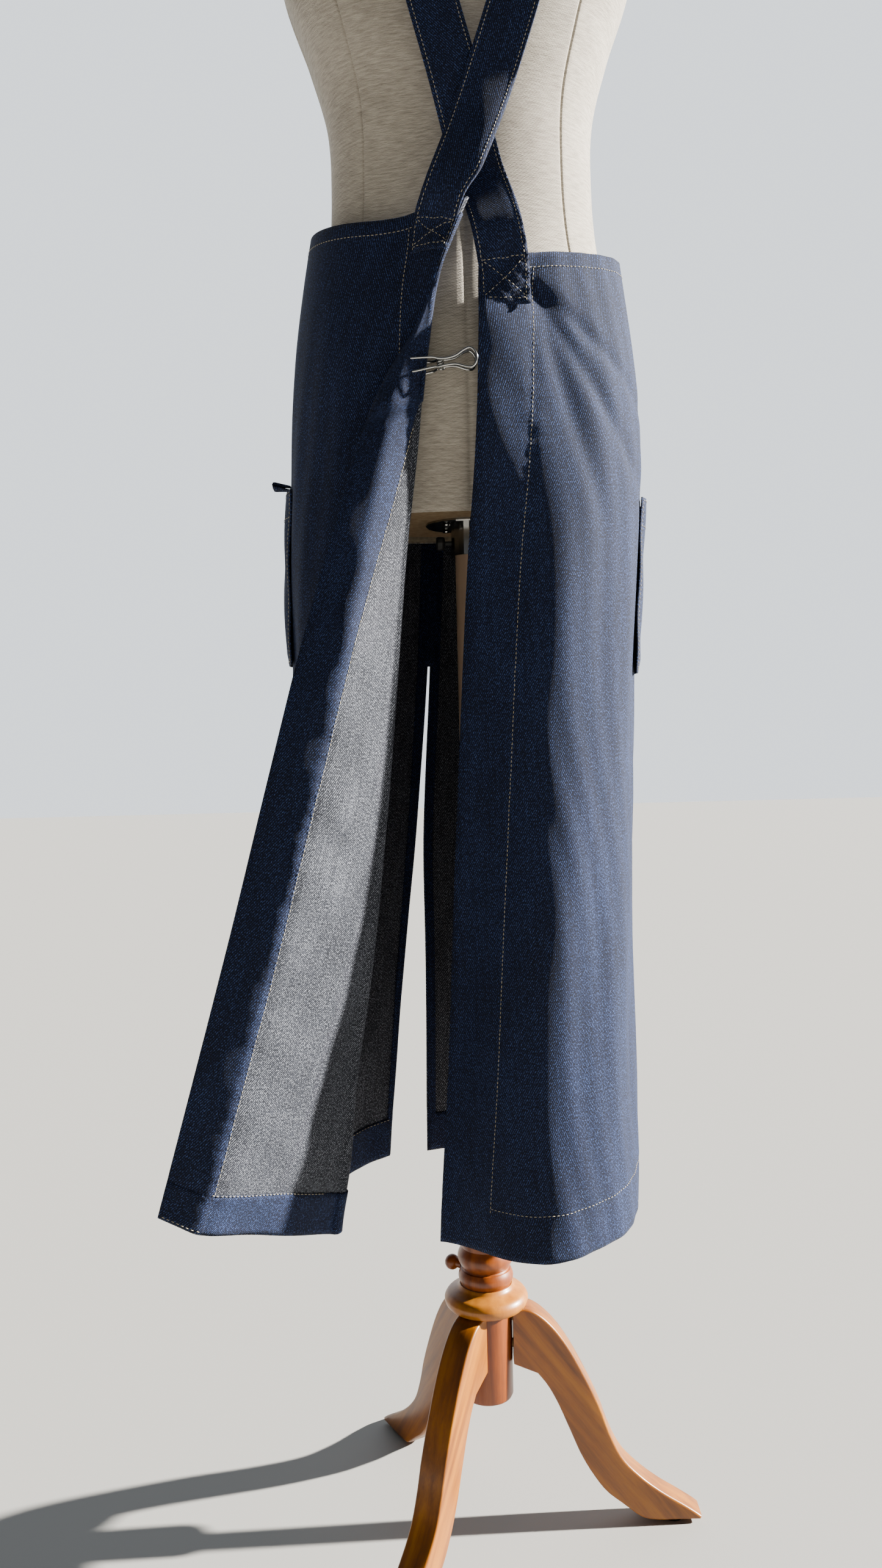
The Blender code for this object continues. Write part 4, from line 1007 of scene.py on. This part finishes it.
def make_form():
    turns = [math.radians(d) for d in SEAM_DEGREES]
    spread = np.array([-0.0045, -0.0024, -0.0012, -0.0006, 0.0, 0.0006, 0.0012, 0.0024, 0.0045]) / 0.12
    near_seams = np.concatenate([t + spread for t in turns[:-1]]) % math.tau
    columns = np.unique(np.concatenate([np.linspace(0, math.tau, 161), near_seams]).round(5))

    def cover(u, v):
        turn = np.interp(u, np.linspace(0, 1, len(columns)), columns)
        z = TORSO_BOTTOM + (TORSO_TOP - TORSO_BOTTOM) * v
        half = TORSO(z)[0]
        groove = sum(bell((turn - t) * half, 0, 0.0009) for t in turns)
        raised = sum(bell(np.abs((turn - t) * half), 0.0045, 0.0030) for t in turns)
        turned_under = bell(z, TORSO_BOTTOM, 0.002)
        return torso_surface(turn, z, COVER_OUT - 0.0013 * np.minimum(groove, 1) + 0.0002 * raised
                             - 0.0006 * turned_under)

    gores = ("side_front_right", "front_right", "front_left", "side_front_left", "side_back_left",
             "back_left", "back_right", "side_back_right")
    cloth_piece("linen_cover", cover, len(columns) - 1, 150, 0.0012, ["cover_" + gore for gore in gores],
                ["linen"], -1.0)

    def core(u, v):
        z = TORSO_BOTTOM + CORE_GAP + (TORSO_TOP - TORSO_BOTTOM - 2 * CORE_GAP) * v
        return torso_surface(u * math.tau, z, CORE_GAP)

    cloth_piece("form_shell", core, 96, 60, 0.0078, ["body_shell"], ["pulp"], -1.0)

    for name, sign in (("arm_plate_right", 1), ("arm_plate_left", -1)):
        place = Matrix.Translation((sign * ARM_PLATE_OUT, -0.006, 1.4640)) \
            @ Matrix.Rotation(sign * math.radians(89.0), 4, "Y") @ Matrix.Diagonal((0.052, 0.036, 1.0, 1.0))
        turned_part(name + "_cover", ARM_PLATE, ["linen_plain"], "torso", [name], at=place)


def torso_depth(x, height):
    """How far forward the body form reaches at this x."""
    half, front, _, square = TORSO(height)
    share = np.minimum(np.abs(x) / half, 0.98)
    turn = np.arccos(np.sign(x) * share ** (square / 2))
    return torso_surface(turn, height)[..., 1]


def bib_surface(u, v):
    """u from the wearer's left edge, v up from inside the skirt's top edge, where it is sewn in."""
    u, v = sheet_places(u, v)
    half = 0.114 + (0.096 - 0.114) * v
    x = -0.006 + half * (1 - 2 * u)
    low = 1.1405 - 0.014 * np.clip((x + 0.0185) / 0.126, 0, 1)
    z = low + (1.405 - low) * v
    depth = np.maximum(torso_depth(x * 0.6, z), torso_depth(x, z))
    depth = np.maximum(depth, torso_depth(0.6 * x, np.minimum(z + 0.05, 1.36)) - 0.012)
    free = depth + 0.014 - 0.001 * v + 0.0008 * np.sin(60 * x + 20 * z)
    sewn_in = skirt(skirt_turn(x, np.minimum(z, 1.160), True), np.minimum(z, 1.160), -0.0022)[..., 1]
    return stack(x, free + (sewn_in - free) * ease(1.190, 1.154, z), z)


def make_bib():
    cloth_piece("bib_panel", bib_surface, 70, 76, DENIM, ["bib"], BOTH_FACES)
    hem = part_of(bib_surface, (0.002, 0.998), (0.885, 0.998), 0.0012)
    turning("bib_hem_turning", hem, 70, 8, replaced=["bib_hem"])
    runs = [run_on(bib_surface, span(0.01, 0.99), v) for v in (0.878, 0.982)]
    runs += [run_on(bib_surface, u, span(0.01, 0.99)) for u in (0.02, 0.98)]
    stitch_runs("bib_stitches", faced(runs, lambda places: np.array([0, 1.0, 0])))


POCKET_HEIGHT, POCKET_HALF = 0.148, math.radians(30)


def pocket_surface(centre, top):
    """A patch pocket on the skirt: centred on this turn, its mouth at this height."""
    def surface(u, v):
        u, v = sheet_places(u, v)
        lift = 0.0022 * ease(0.0, 0.10, np.minimum(u, 1 - u)) * ease(0.0, 0.09, v)
        z = top - POCKET_HEIGHT * (1 - v)
        return skirt(centre + POCKET_HALF * (2 * u - 1), z, 0.0024 + lift + 0.0006 * np.sin(u * 19 + v * 13))
    return surface


def make_pockets():
    line = span(0.02, 0.98, 100)
    for name, centre, top in (("right", math.radians(13), 0.924), ("left", math.radians(167), 0.938)):
        surface = pocket_surface(centre, top)
        cloth_piece(name + "_pocket", surface, 44, 40, DENIM, ["pocket_" + name], BOTH_FACES)
        runs = [run_on(surface, u, line) for u in (0.025, 0.975)]
        runs += [run_on(surface, line, v) for v in (0.02, 0.84, 0.985)]
        stitch_runs(name + "_pocket_stitches", faced(runs, away_from_axis))

    root = skirt(np.array(math.pi + 0.130), 0.9480)

    def tab(u, v):
        """A folded tab: u runs out, round the bend and back, v across its flared width."""
        u, v = sheet_places(u, v)
        reach = 0.0135
        out = np.where(u < 0.44, u / 0.44, np.where(u > 0.56, (1 - u) / 0.44, 1.0))
        bend = np.clip((u - 0.44) / 0.12, 0, 1) * np.pi
        z = np.where(u <= 0.44, 0.0016, np.where(u >= 0.56, -0.0016, 0.0016 * np.cos(bend)))
        flare = 0.0045 + 0.0035 * out
        lifted = 0.0030 * out * (2 * v - 1) ** 2
        return stack(root[0] - 0.0012 - reach * out - 0.0014 * np.sin(bend) * (z**2 < 0.0016**2),
                     root[1] + flare * (2 * v - 1), root[2] + z + lifted - 0.006)

    cloth_piece("side_tab", tab, 24, 10, 0.0010, ["side_loop"])


# ==== stand ======================================================================================
COLUMN_RADIUS, FLANGE_RADIUS, LEG_THICKNESS = 0.023, 0.038, 0.025


def rounded(points, steps=5):
    """Smooth outline through the given (radius, height) places."""
    return [tuple(p) for p in walk(points, (len(points) - 1) * steps + 1)]


def swelling(radius, out, low, length, steps):
    """A half-round swelling of a turned outline."""
    return [(radius + out * math.sin(math.pi * k / steps), low + length * k / steps)
            for k in range(steps + 1)]


def make_column():
    r, bore = COLUMN_RADIUS, 0.0129
    bead = swelling(r - 0.0006, 0.0030, 0.2430, 0.0160, 12)
    ring = swelling(r - 0.0002, 0.0022, 0.2262, 0.0130, 8)
    profile = ([(0.0, 0.120), (r - 0.003, 0.120), (r - 0.0012, 0.1205), (r, 0.123), (r, 0.2255)] + ring
               + [(r - 0.0014, 0.2398), (r - 0.0020, 0.2410), (r - 0.0014, 0.2422)] + bead
               + [(r - 0.0012, 0.2604), (r - 0.0006, 0.2640), (r - 0.0006, 0.337), (r - 0.0014, 0.3392),
                  (r - 0.0036, 0.340), (bore, 0.340), (bore, 0.130), (0.0, 0.130)])
    turned_part("turned_column", profile, ["wood_up"], "stand", ["stand_column"])
    inner = r + 0.0003
    lip = FLANGE_RADIUS
    cone = rounded([(lip, 0.2110), (lip - 0.0002, 0.2140), (lip - 0.0030, 0.2180), (lip - 0.0080, 0.2205),
                    (lip - 0.0120, 0.2228), (inner + 0.0006, 0.2258)])
    profile = [(inner, 0.205), (lip - 0.006, 0.205), (lip - 0.0030, 0.2056), (lip - 0.0010, 0.2078)] + cone \
        + [(inner, 0.2258), (inner, 0.205)]
    turned_part("turned_flange", profile, ["wood_pale"], "stand", ["column_flange"])


LEG_BACK = ((0.0236, 0.2046), (0.034, 0.2046), (0.0425, 0.2018), (0.053, 0.1940), (0.065, 0.1805),
            (0.078, 0.160), (0.092, 0.132), (0.1025, 0.108), (0.110, 0.086), (0.121, 0.063), (0.137, 0.0455),
            (0.156, 0.0305), (0.175, 0.0185), (0.187, 0.0105), (0.1925, 0.0062))
LEG_INNER = ((0.170, 0.0034), (0.153, 0.0034), (0.138, 0.0065), (0.122, 0.0185), (0.106, 0.0315),
             (0.094, 0.0475), (0.083, 0.067), (0.073, 0.091), (0.063, 0.115), (0.054, 0.132), (0.045, 0.1440))
LEG_END, LEG_HOLLOW = 0.0240, 0.0245     # edges are rounded beyond the first, the end hollow up to the second


def make_legs():
    outline = ([LEG_BACK[0]] + [tuple(p) for p in walk(LEG_BACK[1:], 52)]
               + [(0.1916, 0.0034)] + [tuple(p) for p in walk(LEG_INNER, 44)] + [(0.0236, 0.1530)])
    for name, degrees in (("right", 0.0), ("rear", 120.0), ("front", 240.0)):
        bm = bmesh.new()
        corners = [bm.verts.new((x, -LEG_THICKNESS / 2, z)) for x, z in outline]
        side = bm.faces.new(corners)
        grown = bmesh.ops.extrude_face_region(bm, geom=[side])
        moved = [g for g in grown["geom"] if isinstance(g, bmesh.types.BMVert)]
        bmesh.ops.translate(bm, verts=moved, vec=(0, LEG_THICKNESS, 0))
        bmesh.ops.recalc_face_normals(bm, faces=bm.faces)
        sides = [f for f in bm.faces if len(f.verts) > 4]
        rim = [e for f in sides for e in f.edges if (e.verts[0].co.x + e.verts[1].co.x) / 2 > LEG_END]
        bmesh.ops.bevel(bm, geom=rim, offset=0.0032, offset_type="OFFSET", segments=4, profile=0.5,
                        affect="EDGES", material=-1, clamp_overlap=True)
        bmesh.ops.triangulate(bm, faces=[f for f in bm.faces if len(f.verts) > 4])
        # the end is hollowed to sit against the round column
        for vert in bm.verts:
            if vert.co.x < LEG_HOLLOW:
                least = math.sqrt((COLUMN_RADIUS + 0.0003) ** 2 - vert.co.y**2)
                vert.co.x = max(least, vert.co.x)
        turn = Matrix.Rotation(math.radians(degrees), 3, "Z")
        bmesh.ops.rotate(bm, verts=bm.verts, cent=(0, 0, 0), matrix=turn)
        place_piece(name + "_leg_board", bm, ["wood_leg_" + name], "stand", ["leg_" + name],
                    smooth_angle=42)


def knob_frame():
    return (Matrix.Rotation(math.radians(150), 4, "Z") @ Matrix.Translation((COLUMN_RADIUS, 0, 0.2370))
            @ Matrix.Rotation(math.pi / 2, 4, "Y"))


def make_stand():
    make_column()
    make_legs()
    ball = [(0.0070 * math.cos(a), 0.0120 + 0.0068 * math.sin(a))
            for a in (math.radians(t) for t in np.linspace(-52, 90, 22))]
    knob = [(0.0, -0.0092), (0.0025, -0.0092), (0.0025, 0.0008), (0.0040, 0.0011), (0.0043, 0.0018),
            (0.0040, 0.0060)] + ball
    turned_part("knob_ball", knob, ["wood_up"], "clamp_knob", ["clamp_knob"], 48,
                knob_frame())

    wall, r = 0.0015, 0.0125
    low, high = 0.178, 0.962
    turned_part("pole_tube", [(r - wall, low), (r - 0.0003, low), (r, low + 0.0003), (r, high - 0.0003),
                              (r - 0.0003, high), (r - wall, high), (r - wall, low)],
                ["pole"], "pole", ["pole"], 64)

    shift = Matrix.Translation((0, -0.001, 0))
    top = 1.6453
    neck = [(r, top + rise) for r, rise in (
        (0, 0), (0.0505, 0), (0.0522, 0.0004), (0.0535, 0.0022), (0.0535, 0.0068), (0.0525, 0.0086),
        (0.0500, 0.0098), (0.030, 0.0116), (0.012, 0.0128), (0, 0.0130))]
    turned_part("neck_block", neck, ["wood_up"], "torso", ["neck_cap"], 96, shift)
    tip = top + 0.0133
    bulb = [(r, tip + rise) for r, rise in (
        (0.0082, 0.0006), (0.0068, 0.004), (0.0105, 0.011), (0.0125, 0.018), (0.0105, 0.025), (0.005, 0.0295),
        (0, 0.0305))]
    finial = [(0, tip), (0.008, tip)] + rounded(bulb, 6)
    turned_part("turned_finial", finial, ["wood_up"], "torso", ["neck_finial"], 64, shift)


# ==== peg ========================================================================================
CLIP_CENTRE = Vector((-0.0225, -0.1194, 1.0190))
CLIP_RISE = math.radians(7)
COIL_TURNS, COIL_STEPS, COIL_RADIUS, COIL_LENGTH = 4.5, 20, 0.0023, 0.0092


def wire(bm, path, radius, sides=12, closed=True):
    """A round wire along a path, made by walking a ring of points along it."""
    points = [Vector(p) for p in path]
    count = len(points)
    across, rings = None, []
    for i, here in enumerate(points):
        ahead = points[(i + 1) % count] if closed or i < count - 1 else here
        behind = points[i - 1] if closed or i > 0 else here
        along = (ahead - behind).normalized()
        if across is None:
            across = along.orthogonal().normalized()
        else:
            across = (across - along * across.dot(along)).normalized()
        turn = Matrix((across, along.cross(across), along)).transposed().to_4x4()
        capped = not closed and i in (0, count - 1)
        made = bmesh.ops.create_circle(bm, segments=sides, radius=radius, cap_ends=capped,
                                       matrix=Matrix.Translation(here) @ turn)
        rings.append(made["verts"])
    for i in range(count if closed else count - 1):
        near, far = rings[i], rings[(i + 1) % count]
        offset = 0
        if closed and i == count - 1:
            offset = min(range(sides), key=lambda s: (near[0].co - far[s].co).length)
        for k in range(sides):
            bm.faces.new((near[k], near[(k + 1) % sides], far[(k + 1 + offset) % sides],
                          far[(k + offset) % sides]))


def on_clip(spot):
    """A place in the clip's own axes, moved to where the clip sits."""
    return CLIP_CENTRE + Matrix.Rotation(-CLIP_RISE, 3, "Y") @ spot


def clip_path(sign, skew):
    """One wire arm: square jaw on the left, drop-shaped handle on the right."""
    tip, waist, half_jaw, half_loop = 0.0285, 0.0036, 0.0052, 0.0074
    outline = [(-tip, -half_jaw + 0.0018), (-tip, half_jaw - 0.0018), (-tip + 0.0005, half_jaw - 0.0005),
               (-tip + 0.0018, half_jaw), (-tip + 0.010, half_jaw - 0.0003), (-0.004, waist),
               (0.004, waist * 0.72), (0.012, waist * 0.9), (0.019, half_loop * 0.85), (0.024, half_loop),
               (tip - 0.0013, half_loop * 0.62), (tip, 0.0)]
    mirrored = [(x, -z) for x, z in reversed(outline[3:-1])]
    smooth = walk(outline + mirrored + [(-tip + 0.0005, -half_jaw + 0.0005), outline[0]], 120)[:-1]
    points = []
    for x, z in smooth:
        handle = 0.0060 * max(x - 0.004, 0.0) / (tip - 0.004)
        jaw = 0.0041 * min(max((-0.002 - x) / 0.004, 0.0), 1.0)
        spot = Vector((x, sign * (0.0030 + handle + jaw), z + skew * max(x, 0) / tip))
        points.append(on_clip(spot))
    return points


def make_clip():
    for name, sign, body, skew in (("clip_outer_arm", -1, "clip_arm", -0.0010),
                                   ("clip_inner_arm", 1, "torso", 0.0012)):
        bm = bmesh.new()
        wire(bm, clip_path(sign, skew), 0.0010)
        place_piece(name + "_wire", bm, ["steel"], body, [name])
    bm = bmesh.new()
    count = int(COIL_TURNS * COIL_STEPS)
    coil = []
    for k in range(count + 1):
        a = math.tau * k / COIL_STEPS
        coil.append(on_clip(Vector((COIL_RADIUS * math.cos(a), COIL_RADIUS * math.sin(a),
                                    -COIL_LENGTH / 2 + COIL_LENGTH * k / count))))
    wire(bm, coil, 0.00085, 10, closed=False)
    place_piece("clip_coil", bm, ["steel"], "torso", ["clip_spring"])


# ==== all together ===============================================================================
FINISH = make_finishes()
CAD_FINISH = {"stand_column": "wood_up", "column_flange": "wood_pale", "clamp_insert": "brass",
              "base_board": "plywood", "body_shell": "pulp", "pole": "pole", "pole_cap": "plastic",
              "turn_screw": "plastic", "pole_socket": "steel", "neck_cap": "wood_up",
              "neck_finial": "wood_up", "clamp_knob": "wood_up"}
CAD_STARTS = (("foot_pad", "felt"), ("dowel", "raw_wood"), ("leg_", "wood_up"), ("socket_screw", "steel"),
              ("clip", "steel"), ("cover", "linen_plain"), ("arm_plate", "linen_plain"))


def dress_cad():
    """Gives every CAD piece a made finish; the cloth ones are hidden behind finer pieces."""
    for name, node in frame["nodes"].items():
        kind = CAD_FINISH.get(name)
        if kind is None:
            kind = next((finish for start, finish in CAD_STARTS if name.startswith(start)), "denim_plain")
        node.data.materials.clear()
        node.data.materials.append(FINISH[kind])


def declare_cloth(made):
    """A table of each sheet's cut size in metres, its flat area unless it is a rectangle, how it is held,
    what it rests on and its parts; the function only looks the parts up and passes nothing on.
    """
    sheets = (
        ("linen_cover", (0.872, 0.784), 0.550, "stretched", ["form_shell"], []),
        ("right_panel", (0.560, 0.850), 0.410, "hung", ["lower_strap", "linen_cover"],
         ["right_hem_turning", "right_top_turning", "right_slit_turning", "right_facing",
          "front_seam_turning", "panel_stitches"]),
        ("left_panel", (0.460, 0.850), 0.361, "hung", ["upper_strap", "linen_cover"],
         ["left_hem_turning", "left_top_turning", "left_slit_turning", "left_facing", "turned_out_stitches"]),
        ("lower_strap", (0.040, 0.818), None, "draped", ["linen_cover"], ["lower_strap_stitches"]),
        ("upper_strap", (0.040, 0.780), None, "draped", ["lower_strap", "linen_cover"],
         ["upper_strap_stitches"]),
        ("bib_panel", (0.230, 0.270), 0.057, "hung", ["linen_cover"], ["bib_hem_turning", "bib_stitches"]),
        ("right_pocket", (0.150, 0.148), None, "laid", ["right_panel"], ["right_pocket_stitches"]),
        ("left_pocket", (0.152, 0.148), None, "laid", ["left_panel"], ["left_pocket_stitches"]),
        ("side_tab", (0.033, 0.0135), None, "folded", ["left_panel"], []),
    )
    for name, flat, area, held, rests, parts in sheets:
        [made[part] for part in parts]
        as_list(rests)


def main():
    dress_cad()
    skin = torso_skin()
    make_stand()
    make_form()
    make_panels()
    runs, inner = panel_stitches()
    stitch_runs("panel_stitches", faced(runs, away_from_axis))
    stitch_runs("turned_out_stitches", inner, lift=0.0022)
    make_straps(skin)
    make_bib()
    make_pockets()
    make_clip()
    declare_cloth({piece.name: piece for piece in bpy.data.objects})
    place_camera()
    make_studio()


main()
